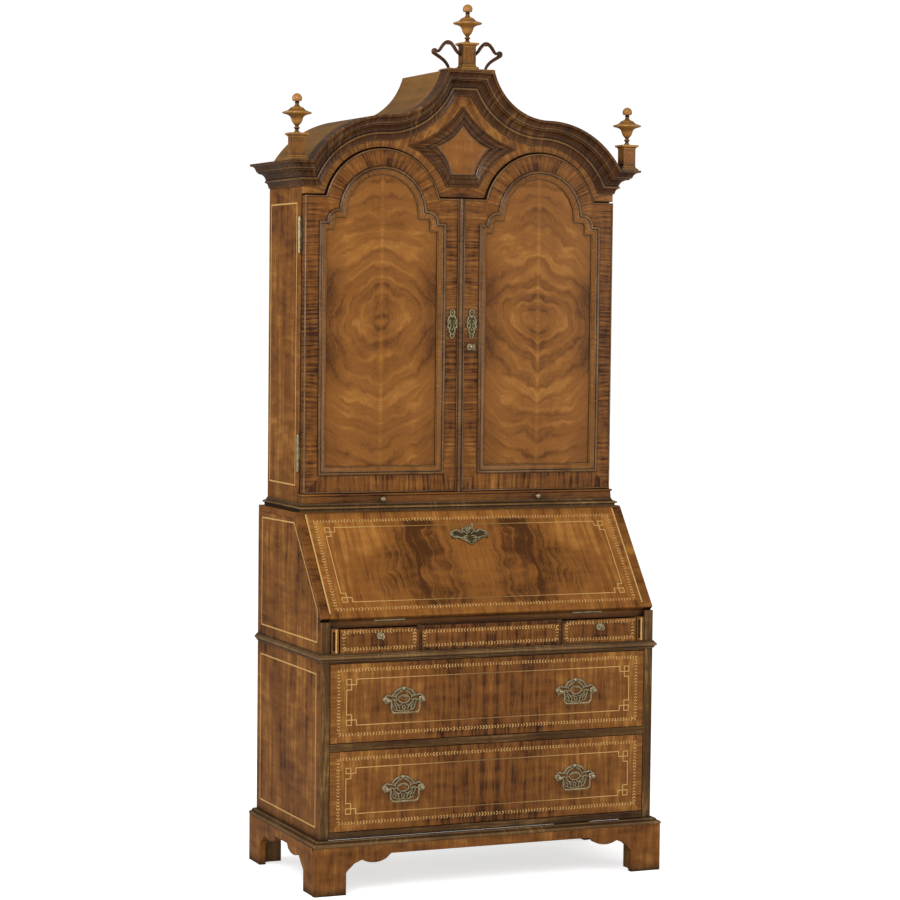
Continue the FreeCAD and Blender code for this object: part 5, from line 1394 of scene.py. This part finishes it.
class BUREAU_OT_stringing(PieceOperator, bpy.types.Operator):
    """Inlay the light lines of the drawers, fall, lopers and sides, and the lips of the fall"""
    bl_idname = "bureau.stringing"
    bl_label = "Stringing"

    def make(self, scene):
        sizes = scene.bureau_sizes
        width = sizes.string_width / MM
        lift = sizes.inlay_lift / MM
        for name, half_up, place in (
                ("upper_drawer", 65, on_front(0, 0, DRAWER_Z["upper"])),
                ("lower_drawer", 65, on_front(0, 0, DRAWER_Z["lower"])),
                ("fall", 126, on_slope(0, FALL_LINE_MIDDLE))):
            pile = Pile()
            self.fretted_line(pile, 443, half_up, 15, width, lift, place)
            set_on(grown(name + "_stringing", pile), name, "light_inlay", "figured_walnut")
        lip = Pile()
        for side in (-1, 1):
            line = [(side * 489.4, 20), (side * 489.4, 354)]
            strip(lip, line, 4.4, 0.45, False, on_slope())
        set_on(grown("fall_lip", lip), "fall", "light_inlay", "figured_walnut")
        for word in ("left", "right"):
            low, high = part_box(f"loper_{word}")
            x = (low.x * 0.35 + high.x * 0.65) / MM
            line = [(x, low.z / MM + 2), (x, high.z / MM - 2)]
            cove = Pile()
            strip(cove, line, 5, lift, False, on_front(0))
            set_on(grown(f"loper_line_{word}", cove), f"loper_{word}", "light_inlay", "walnut")
        side_width = sizes.side_line / MM
        for side, word in ((-1, "left"), (1, "right")):
            pile = Pile()
            place = on_side(side * CASE_HALF, side)
            low = [(40, 186), (510, 186), (510, 620), (40, 620)]
            slope = [(35, 710), (505, 708), (504, 1025), (231, 1030), (35, 801)]
            for points in (low, slope):
                strip(pile, points, side_width, lift, True, place)
            strip(
                pile, [(303, 1133), (522, 1133), (522, 1945), (303, 1945)], side_width, lift, True,
                on_side(side * UPPER_HALF, side))
            set_on(grown(f"side_lines_{word}", pile), "root", "light_inlay", "walnut")

    def fretted_line(self, pile, half_x, half_up, step, width, lift, place):
        """A rectangle of line whose corners step in round a small square, as a Greek key."""
        for across in (-1, 1):
            for up in (-1, 1):
                def at(x, y):
                    return (across * (half_x - x), up * (half_up - y))
                steps = [
                    at(half_x, 0), at(2 * step, 0), at(2 * step, step), at(step, step), at(step, 2 * step),
                    at(0, 2 * step), at(0, half_up)]
                strip(pile, steps, width, lift, False, place)
                square = [at(0, 0), at(step, 0), at(step, step), at(0, step)]
                strip(pile, square, width, lift * 0.9, True, place)


def scroll_tubes():
    """The strands of a drawer plate's right half: line, thick and thin radius."""
    return (
        ([(4, 33), (13, 31), (23, 26), (30, 17), (36, 11)], 2.3, 1.7),
        ([(5, 24), (13, 22), (20, 16), (24, 9), (22, 4)], 2.0, 1.4),
        ([(2, 28), (8, 25), (12, 28), (17, 27), (19, 23)], 1.7, 1.2),
        ([(24, 8), (33, 11), (40, 11), (45, 14), (51, 13), (56, 8), (61, 5), (62, 0), (57, -2), (53, 2)],
         2.5, 1.6),
        ([(17, 1), (27, -1), (36, 1), (44, -2), (50, 1), (55, 4)], 2.3, 1.6),
        ([(47, -2), (50, -7), (55, -9), (57, -5)], 2.4, 1.7),
        ([(37, 1), (37, -7), (34, -14), (28, -20)], 2.0, 1.4),
        ([(29, -2), (24, -9), (17, -15), (10, -16), (6, -12), (9, -9)], 2.1, 1.3),
        ([(31, -8), (26, -15), (22, -22), (23, -30)], 2.1, 1.4),
        ([(20, -14), (14, -21), (12, -29)], 2.0, 1.4),
        ([(0, -31), (8, -32), (17, -31), (25, -29), (31, -24), (35, -16)], 2.1, 1.6),
        ([(0, -15), (4, -20), (3, -26), (0, -30)], 2.0, 1.4),
        ([(0, 12), (4, 7.5), (7, 11), (10, 6.5), (13, 9)], 1.6, 1.2))


def ornament(pile, place, lines, thickness):
    """Raised scrolls on both halves of a plate."""
    for points, thick, thin in lines:
        for side in (-1, 1):
            path = curve([(side * x, y, thickness) for x, y in points], 5)
            pile.take(*tube(path, eased_radii(len(path), thick, thin), 6, 0.8), place=place)


def oval(y, across, up, count=16):
    """An oval outline about a point on the centre line."""
    angles = [math.tau * k / count for k in range(count)]
    return [(across * math.cos(angle), y + up * math.sin(angle)) for angle in angles]


def mirrored(points):
    """The right half of an outline, from top to bottom, and its mirror image."""
    return list(points) + [(-x, y) for x, y in reversed(points) if x > 0]


class BUREAU_OT_handles(PieceOperator, bpy.types.Operator):
    """Cast the drawer plates, their posts and their drop handles"""
    bl_idname = "bureau.handles"
    bl_label = "Drawer handles"

    def make(self, scene):
        for word, height in HANDLE_Z.items():
            pile = Pile()
            for side in (-1, 1):
                self.plate(pile, on_front(0, side * HANDLE_X, height))
            body = f"{word}_drawer"
            set_on(grown(f"{word}_drawer_brasses", pile), body, "old_brass", "brass", f"{body}_plates")
            for side, way in ((-1, "left"), (1, "right")):
                bail = Pile()
                self.bail(bail, side * HANDLE_X, height)
                name = f"{word}_bail_{way}"
                set_on(grown(name + "_drop", bail), name, "old_brass", "brass", name)

    def plate(self, pile, place):
        ring = curve([(x, y, 1.9) for x, y in oval(1.5, 17, 11)], 2, True)
        pile.take(*tube(ring + ring[:1], [2.0] * (len(ring) + 1), 6, 0.9), place=place)
        ornament(pile, place, scroll_tubes(), 1.5)
        boss = place @ Matrix.Translation((0, 31.5, 0))
        pile.take(*lathe([(0, 0), (5.4, 0), (5.6, 2), (4.8, 3.6), (2.6, 4.8), (0, 5)], 18), place=boss)
        for side in (-1, 1):
            for x, y, radius in ((57, 3.5, 4.6), (54, -8, 3.2), (45, 12, 3.2), (27, 13, 2.6), (0, -27, 3)):
                lobe = place @ Matrix.Translation((side * x, y, 0))
                round_top = [(0, 0), (radius, 0), (radius, 1.8), (radius * 0.6, 3.6), (0, 4)]
                pile.take(*lathe(round_top, 12), place=lobe)
        for side in (-1, 1):
            post = place @ Matrix.Translation((side * 53.5, 0, 0))
            profile = [
                (8, 1.5), (8, 3), (6.6, 4.2), (4.6, 4.6), (4.2, 6), (5.2, 8.4), (4.6, 10.6), (4.4, 15),
                (5.2, 18), (5.4, 20.4), (4, 22), (1.6, 22.5)]
            pile.take(*lathe([(0, 1.5)] + profile + [(0, 22.5)], 16), place=post)

    def bail(self, pile, x, z):
        """The drop handle: a cast rod that swells at its middle."""
        half = [
            (53.5, 0), (48, 0), (44.5, -1.5), (43, -5.5), (43, -22), (41.5, -28.5), (37, -33.5), (30, -35)]
        points = half + [(0, -35)] + [(-a, b) for a, b in reversed(half)]
        path = curve([(a, b, 15.0) for a, b in points], 5)
        radii = []
        for spot in path:
            share = max(0.0, 1 - abs(spot.x) / 30)
            radii.append(2.0 + 0.9 * share if spot.y < -30 else 2.05)
        place = on_front(0, x, z)
        pile.take(*tube(path, radii, 10), place=place)
        for side in (-1, 1):
            for spot in (36, 18):
                button = place @ Matrix.Translation((side * spot, -34.6, 15)) @ Matrix.Rotation(
                    math.pi / 2, 4, "Y")
                pile.take(*lathe([(r, h - 1.6) for r, h in bead(3.0, 3.2)], 10), place=button)


class BUREAU_OT_escutcheons(PieceOperator, bpy.types.Operator):
    """Lay openwork scrolls over the escutcheons of the fall, the doors and the locks"""
    bl_idname = "bureau.escutcheons"
    bl_label = "Escutcheons"

    def make(self, scene):
        pile = Pile()
        self.fall_plate(pile, on_slope(0, FALL_PLATE_UP))
        set_on(grown("fall_escutcheon", pile), "fall", "old_brass", "brass")
        hollowed(softened("fall_brass", "old_brass", "brass", 0.0001), 100, 850)
        for side, word in ((-1, "left"), (1, "right")):
            pile = Pile()
            self.door_plate(pile, on_front(DOOR_Y, side * DOOR_PLATE[0], DOOR_PLATE[1]))
            if side > 0:
                self.rose(pile, on_front(DOOR_Y, *DOOR_LOCK), 9.6)
            set_on(grown(f"door_{word}_escutcheon", pile), f"door_{word}", "old_brass", "brass")
            hollowed(softened(f"door_{word}_brass", "old_brass", "brass", 0.0001), 60, 1400)
            pile = Pile()
            self.rose(pile, on_front(0, side * SMALL_LOCK[0], SMALL_LOCK[1]), 9.8)
            set_on(grown(f"small_lock_{word}", pile), f"small_drawer_{word}", "old_brass", "brass")

    def rose(self, pile, place, radius):
        """A small turned rose round a keyhole."""
        profile = [
            (2.4, 0.3), (radius, 0.3), (radius + 0.3, 1.2), (radius - 0.6, 2.3), (radius - 2.4, 2.4),
            (radius - 3, 2.05), (radius - 4.6, 2.2), (radius - 5.6, 2.9), (2.6, 2.9), (2.4, 2.4)]
        rows = []
        for side in range(24):
            angle = math.tau * side / 24
            rows.append([(r * math.cos(angle), r * math.sin(angle), h) for r, h in profile])
        pile.take(*skin(rows, along=True), place=place)

    def fall_plate(self, pile, place):
        half = [
            (0, 30.5), (5, 29), (9, 25), (14, 26), (19, 21), (21, 14), (27, 15), (33, 19), (39, 20),
            (45, 18), (51, 14), (57, 12), (60, 7), (58, 1), (53, -2), (49, -7), (43, -8), (38, -5),
            (31, -10), (25, -15), (17, -19), (11, -23), (6, -28), (0, -30.5)]
        rim = curve([(x, y, 2.0) for x, y in mirrored(half)], 3, True)
        pile.take(*tube(rim + rim[:1], [1.3] * (len(rim) + 1), 6, 0.9), place=place)
        lines = (
            ([(6, 3), (14, 12), (24, 10), (32, 16), (42, 17), (51, 12), (56, 6), (52, 2), (49, 6)], 2.6, 1.3),
            ([(5, -3), (14, -3), (22, -9), (32, -8), (42, -4), (50, -3)], 2.4, 1.3),
            ([(3, -26), (9, -20), (16, -16), (17, -10), (12, -9), (11, -13)], 2.2, 1.2),
            ([(8, 23), (15, 22), (18, 15), (13, 12), (11, 16)], 2.1, 1.2))
        ornament(pile, place, lines, 2.7)
        for step in range(5):
            angle = math.radians(50 + 20 * step)
            far = 26 - 2.4 * abs(step - 2)
            tip = (far * math.cos(angle) * 0.6, 4 + far * math.sin(angle), 3.4)
            rib = [(3 * math.cos(angle), 8, 2.8), tip]
            pile.take(*tube(curve(rib, 5), [1.0, 1.4, 1.8, 2.1, 2.0, 1.4], 6, 0.8), place=place)

    def door_plate(self, pile, place):
        lines = (
            ([(0, 43), (5, 39), (7, 32), (5, 27), (2, 29)], 2.2, 1.2),
            ([(1, 22), (6, 24), (10, 19), (13, 12), (14, 5), (11, 1), (8, 4)], 2.4, 1.2),
            ([(4, 12), (8, 8), (12, 0), (14, -7), (11, -12), (7, -10)], 2.3, 1.2),
            ([(3, -4), (6, -12), (9, -19), (7, -26), (4, -24)], 2.2, 1.2),
            ([(0, -43), (4, -38), (6, -32), (3, -28), (1, -31)], 2.0, 1.1),
            ([(4, 4), (5, 0), (4, -4)], 1.8, 1.0))
        ornament(pile, place, lines, 2.2)
        for step in range(3):
            button = place @ Matrix.Translation((0, (22, -16, 34)[step], 1.4))
            pile.take(*lathe(bead((3.4, 2.8, 2.6)[step], 3.2), 12), place=button)


class BUREAU_OT_keys(PieceOperator, bpy.types.Operator):
    """Forge the four keys with their clover bows"""
    bl_idname = "bureau.keys"
    bl_label = "Keys"

    def make(self, scene):
        places = {
            "small_drawer_key_left": (on_front(0, -SMALL_LOCK[0], SMALL_LOCK[1]), 36),
            "small_drawer_key_right": (on_front(0, *SMALL_LOCK), 36),
            "door_key": (on_front(DOOR_Y, *DOOR_LOCK), 42),
            "fall_key": (on_slope(0, FALL_LOCK_UP), 40)}
        for name, (place, reach) in places.items():
            pile = Pile()
            self.key(pile, place, reach)
            set_on(grown(name + "_forged", pile), name, "old_brass", "brass", name)

    def key(self, pile, place, reach):
        """A shank with collars and a bow of three rings, edge on to the lock."""
        neck = reach - 20
        profile = [
            (2.15, -12), (2.15, neck - 4), (3.4, neck - 3.4), (3.8, neck - 2.2), (3.2, neck - 1),
            (4.2, neck), (4.2, neck + 1), (2.6, neck + 2), (2.0, neck + 4)]
        pile.take(*lathe([(0, -12)] + profile + [(0, neck + 4)], 14), place=place)
        for out, up, radius in ((neck + 14.2, 0, 3.9), (neck + 8, 5.2, 3.6), (neck + 8, -5.2, 3.6)):
            ring = [
                (0, up + radius * math.cos(a), out + radius * math.sin(a))
                for a in [math.tau * k / 18 for k in range(19)]]
            pile.take(*self.ring(ring, 1.35), place=place)

    def ring(self, path, radius):
        """A closed ring of wire in the upright plane of the shank."""
        rows = [[] for _ in range(8)]
        centre = sum((Vector(p) for p in path[:-1]), Vector()) / (len(path) - 1)
        for point in path[:-1]:
            spot = Vector(point)
            out = (spot - centre).normalized()
            for side in range(8):
                angle = math.tau * side / 8
                rows[side].append(
                    spot + out * (radius * math.cos(angle)) + Vector((radius * math.sin(angle), 0, 0)))
        return skin(rows, along=True)


class BUREAU_OT_hinges(PieceOperator, bpy.types.Operator):
    """Give the hinges their brass, and turn the small knobs"""
    bl_idname = "bureau.hinges"
    bl_label = "Hinges and knobs"

    def make(self, scene):
        dressed("fixed_hinges", "old_brass")
        profile = [
            (0, 0), (4.6, 0), (4.4, 1), (3, 2.2), (2.6, 5), (3.4, 7.4), (5.6, 9), (6.7, 11), (6.5, 13),
            (5, 14.6), (2.4, 15.4), (0, 15.6)]
        for side, word in ((-1, "left"), (1, "right")):
            pile = Pile()
            pile.take(*lathe(profile, 24), place=on_front(235, side * 248, 1093.5))
            set_on(grown(f"candle_knob_{word}", pile), f"candle_slide_{word}", "old_brass", "brass")
            low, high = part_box(f"gallery_drawer_{word}")
            middle = (low + high) / 2
            pile = Pile()
            small = [(r * 0.78, h * 0.66) for r, h in profile]
            place = on_front(300, middle.x / MM, middle.z / MM)
            pile.take(*lathe(small, 20), place=place)
            set_on(grown(f"gallery_knob_{word}", pile), f"gallery_drawer_{word}", "old_brass", "brass")


class BUREAU_OT_finials(PieceOperator, bpy.types.Operator):
    """Turn the three finials and build their plinths"""
    bl_idname = "bureau.finials"
    bl_label = "Finials and plinths"

    def make(self, scene):
        corner = CORNICE_LOW + CORNICE_HIGH
        middle = PLATFORM_LOW + CORNICE_HIGH + 5
        turned = Pile()
        plinths = Pile()
        panels = Pile()
        for x, low in ((-PLINTH_X, corner), (0, middle), (PLINTH_X, corner)):
            self.finial(turned, x, low + 76)
            self.plinth(plinths, x, low)
            self.panels(panels, x, low)
        lip = [
            (0, 0), (1, 0), (1, 0.55), (0.985, 0.7), (0.97, 0.8), (0.96, 1), (0, 1)]
        width, depth = 76, 33
        rows = []
        for across, back in ((-1, -1), (1, -1), (1, 1), (-1, 1)):
            rows.append([
                (across * width * share, PLINTH_Y + back * (depth - width * (1 - share)) * (share > 0),
                 middle - 5 + 5 * up) for share, up in lip])
        plinths.take(*skin(rows))
        set_on(grown("finials_turned", turned, 50), "root", "turned_wood", "moulded_walnut", "finials")
        set_on(grown("plinth_blocks", plinths, 25), "root", "turned_wood", "moulded_walnut", "finial_plinths")
        set_on(grown("plinth_panels", panels, 25), "root", "kite_veneer", "walnut")

    def finial(self, pile, x, low):
        """A covered cup with a ball on top."""
        rim, high = 42, 104.8
        shares = [
            (0, 0), (0.22, 0), (0.225, 0.02), (0.2, 0.035), (0.145, 0.055), (0.12, 0.085), (0.13, 0.105),
            (0.19, 0.12), (0.215, 0.137), (0.19, 0.155), (0.13, 0.168), (0.12, 0.185), (0.15, 0.205),
            (0.22, 0.235), (0.3, 0.275), (0.36, 0.325), (0.4, 0.38), (0.44, 0.425), (0.54, 0.465),
            (0.72, 0.497), (0.93, 0.517), (1, 0.532), (1, 0.553), (0.95, 0.567), (0.86, 0.567),
            (0.82, 0.58), (0.68, 0.6), (0.56, 0.625), (0.5, 0.655), (0.46, 0.675), (0.36, 0.695),
            (0.24, 0.712), (0.2, 0.725), (0.15, 0.75), (0.13, 0.79), (0.16, 0.815), (0.19, 0.822),
            (0.15, 0.83), (0.12, 0.85)]
        profile = [(r * rim, h * high) for r, h in shares]
        centre, radius = high - 7.2, 14.4
        for step in range(1, 13):
            angle = -math.pi / 2 + math.pi * step / 12
            if centre + radius * math.sin(angle) > profile[-1][1]:
                profile.append((max(radius * math.cos(angle), 0.0), centre + radius * math.sin(angle)))
        ridges, girths = profile_marks(profile)
        points, faces = lathe(profile, 44, centre=(x, PLINTH_Y, low))
        # The ridge marks, scaled down, paint sheen on the finial's rounds and shade in its hollows.
        pile.take(points, faces, ridge=[r * 0.8 for r in ridges] * 44, girth=girths * 44)

    def plinth(self, pile, x, low):
        """A square plinth with a moulded foot and cap."""
        half = [
            (26.5, 0), (26.5, 4.6), (25.4, 5.6), (24, 6), (21.6, 7.4), (20.4, 9.4), (20, 12), (19.5, 12.4),
            (19.5, 63.6), (20, 64), (20.4, 66.6), (21.6, 68.4), (24, 69.8), (25.4, 70.2), (26.5, 71.4),
            (26.5, 76)]
        profile = [(r * math.sqrt(2), h) for r, h in half]
        closed = [(0, 0)] + profile + [(0, 76)]
        ridges, girths = profile_marks(closed)
        points, faces = lathe(closed, 4, math.pi / 4, (x, PLINTH_Y, low))
        # The ridge marks, scaled down, paint sheen on the plinth's rounds and shade in its hollows.
        pile.take(points, faces, ridge=[r * 0.6 for r in ridges] * 4, girth=girths * 4)

    def panels(self, pile, x, low):
        """The pale panels let into the four faces of a plinth, with a raised edge."""
        for turn in range(4):
            place = (
                Matrix.Translation((x, PLINTH_Y, low + 38)) @ Matrix.Rotation(math.pi / 2 * turn, 4, "Z")
                @ Matrix.Translation((0, -19.5, 0)) @ Matrix.Rotation(math.pi / 2, 4, "X"))
            outline = [(-11, -19), (11, -19), (11, 19), (-11, 19)]
            rows = [
                [(a, b, -0.3) for a, b in outline], [(a, b, 0.5) for a, b in outline],
                [(a * 0.86, b * 0.92, 0.9) for a, b in outline],
                [(a * 0.78, b * 0.88, 0.3) for a, b in outline]]
            points, faces = skin(rows, around=False, along=True)
            faces += [[0, 1, 2, 3], [15, 14, 13, 12]]
            pile.take(points, faces, place=place)


class BUREAU_OT_scrolls(PieceOperator, bpy.types.Operator):
    """Carve the two scrolls beside the middle plinth"""
    bl_idname = "bureau.scrolls"
    bl_label = "Scrolls"

    def make(self, scene):
        low = PLATFORM_LOW + CORNICE_HIGH + 5
        pile = Pile()
        foot = [(58, 1), (62, 10), (72, 22), (86, 32), (98, 39), (107, 45), (106, 52), (99, 52), (97, 46)]
        crest = [
            (100, 49), (90, 50), (84, 57), (76, 68), (66, 76), (55, 76), (44, 66), (34, 52), (24, 43),
            (19.6, 42)]
        for side in (-1, 1):
            for line, radius in ((foot, 5.2), (crest, 5.2)):
                path = curve([(side * x, z, 0) for x, z in line], 5)
                count = len(path)
                radii = [radius * (0.72 + 0.28 * math.sin(math.pi * (k + 0.5) / count)) for k in range(count)]
                points, faces = tube(path, radii, 12, 1.28)
                pile.take(points, faces, place=on_front(PLINTH_Y, 0, low))
            for spot in ((102, 48), (60, 75)):
                button = on_front(PLINTH_Y + 7, side * spot[0], low + spot[1])
                pile.take(*lathe(bead(6.2, 14.4, 10), 20), place=button)
        set_on(grown("scrolls_carved", pile, 60), "root", "scroll_wood", "moulded_walnut", "scrolls")


class BUREAU_OT_stage(PieceOperator, bpy.types.Operator):
    """Set the pale floor, the soft lights and the camera of the photograph's view"""
    bl_idname = "bureau.stage"
    bl_label = "Floor, lights and camera"

    def make(self, scene):
        stage = scene.bureau_stage
        self.floor()
        world = bpy.data.worlds.new("studio")
        world.use_nodes = True
        tree = world.node_tree
        sky = tree.nodes["Background"]
        sky.inputs["Color"].default_value = (1.0, 0.99, 0.975, 1.0)
        path = node(tree, "ShaderNodeLightPath").outputs
        dull = mixed(tree, path["Is Glossy Ray"], stage.sky, 0.1, kind="FLOAT")
        wire(tree, sky.inputs["Strength"], mixed(tree, path["Is Camera Ray"], dull, 1.05, kind="FLOAT"))
        scene.world = world
        self.area("key", (-2.6, -3.6, 3.6), (0, 0, 1.2), 2.4, stage.key_power)
        self.area("fill", (3.4, -3.0, 2.2), (0, 0, 1.2), 2.2, stage.fill_power)
        self.area("rim", (-3.2, 0.4, 2.6), (0, 0, 1.6), 1.6, stage.fill_power)
        self.camera(scene, stage.lens)
        scene.view_settings.view_transform = "Standard"

    def floor(self):
        mesh = bpy.data.meshes.new("floor")
        reach = 30.0
        corners = [(-reach, -reach), (reach, -reach), (reach, reach), (-reach, reach)]
        mesh.from_pydata([(x, y, 0.0) for x, y in corners], [], [(0, 1, 2, 3)])
        piece = bpy.data.objects.new("floor", mesh)
        bpy.context.scene.collection.objects.link(piece)
        paper = bpy.data.materials.new("pale_floor")
        paper.use_nodes = True
        shader = paper.node_tree.nodes["Principled BSDF"]
        shader.inputs["Roughness"].default_value = 0.9
        shader.inputs["Emission Color"].default_value = (1.0, 1.0, 1.0, 1.0)
        tree = paper.node_tree
        path = node(tree, "ShaderNodeLightPath").outputs
        wire(tree, shader.inputs["Emission Strength"], scaled(tree, path["Is Camera Ray"], 0.66))
        pale, dim = (0.95, 0.95, 0.945, 1.0), (0.2, 0.2, 0.2, 1.0)
        wire(tree, shader.inputs["Base Color"], mixed(tree, path["Is Glossy Ray"], pale, dim))
        mesh.materials.append(paper)

    def area(self, name, place, aim, reach, power):
        light = bpy.data.lights.new(name, "AREA")
        light.shape = "SQUARE"
        light.size = reach
        light.energy = power
        holder = bpy.data.objects.new(name, light)
        holder.location = place
        holder.rotation_euler = (Vector(aim) - Vector(place)).to_track_quat("-Z", "Y").to_euler()
        bpy.context.scene.collection.objects.link(holder)

    def camera(self, scene, lens):
        """The camera at the place and turn that the photograph was taken from."""
        yaw, pitch, roll = 0.4058, 0.05432, 0.01102
        ahead = Vector((
            math.sin(yaw) * math.cos(pitch), math.cos(yaw) * math.cos(pitch), -math.sin(pitch)))
        right = Vector((math.cos(yaw), -math.sin(yaw), 0))
        up = right.cross(ahead)
        across = right * math.cos(roll) + up * math.sin(roll)
        over = up * math.cos(roll) - right * math.sin(roll)
        turn = Matrix((across, over, -ahead)).transposed().to_4x4()
        data = bpy.data.cameras.new("view")
        data.lens = lens
        data.sensor_width = 36.0
        data.clip_end = 200.0
        holder = bpy.data.objects.new("view", data)
        holder.matrix_world = Matrix.Translation((-3.1241, -6.9551 + FRONT, 1.6586)) @ turn
        scene.collection.objects.link(holder)
        scene.camera = holder


OPERATORS = (
    BUREAU_OT_stage, BUREAU_OT_case, BUREAU_OT_interior, BUREAU_OT_drawers, BUREAU_OT_doors,
    BUREAU_OT_door_mouldings, BUREAU_OT_mouldings, BUREAU_OT_cornice, BUREAU_OT_kite,
    BUREAU_OT_feather, BUREAU_OT_stringing, BUREAU_OT_handles, BUREAU_OT_escutcheons,
    BUREAU_OT_keys, BUREAU_OT_hinges, BUREAU_OT_finials, BUREAU_OT_scrolls)
GROUPS = {
    "bureau_sizes": BureauSizes, "bureau_finishes": BureauFinishes, "bureau_stage": BureauStage}


class BUREAU_PT_panel(bpy.types.Panel):
    """The bureau's settings and the buttons that build its pieces"""
    bl_idname = "BUREAU_PT_panel"
    bl_label = "Writing bureau"
    bl_space_type = "VIEW_3D"
    bl_region_type = "UI"
    bl_category = "Bureau"

    def draw(self, context):
        for group in GROUPS:
            settings = getattr(context.scene, group)
            for name in settings.__annotations__:
                self.layout.prop(settings, name)
        for operator in OPERATORS:
            self.layout.operator(operator.bl_idname)


def register():
    for made in (*GROUPS.values(), *OPERATORS, BUREAU_PT_panel):
        bpy.utils.register_class(made)
    for name, group in GROUPS.items():
        setattr(bpy.types.Scene, name, bpy.props.PointerProperty(type=group))


def unregister():
    for name in GROUPS:
        delattr(bpy.types.Scene, name)
    for made in reversed((*GROUPS.values(), *OPERATORS, BUREAU_PT_panel)):
        bpy.utils.unregister_class(made)


def main():
    """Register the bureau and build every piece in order."""
    register()
    for operator in OPERATORS:
        family, name = operator.bl_idname.split(".")
        getattr(getattr(bpy.ops, family), name)()
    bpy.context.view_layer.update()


if __name__ == "__main__":
    main()
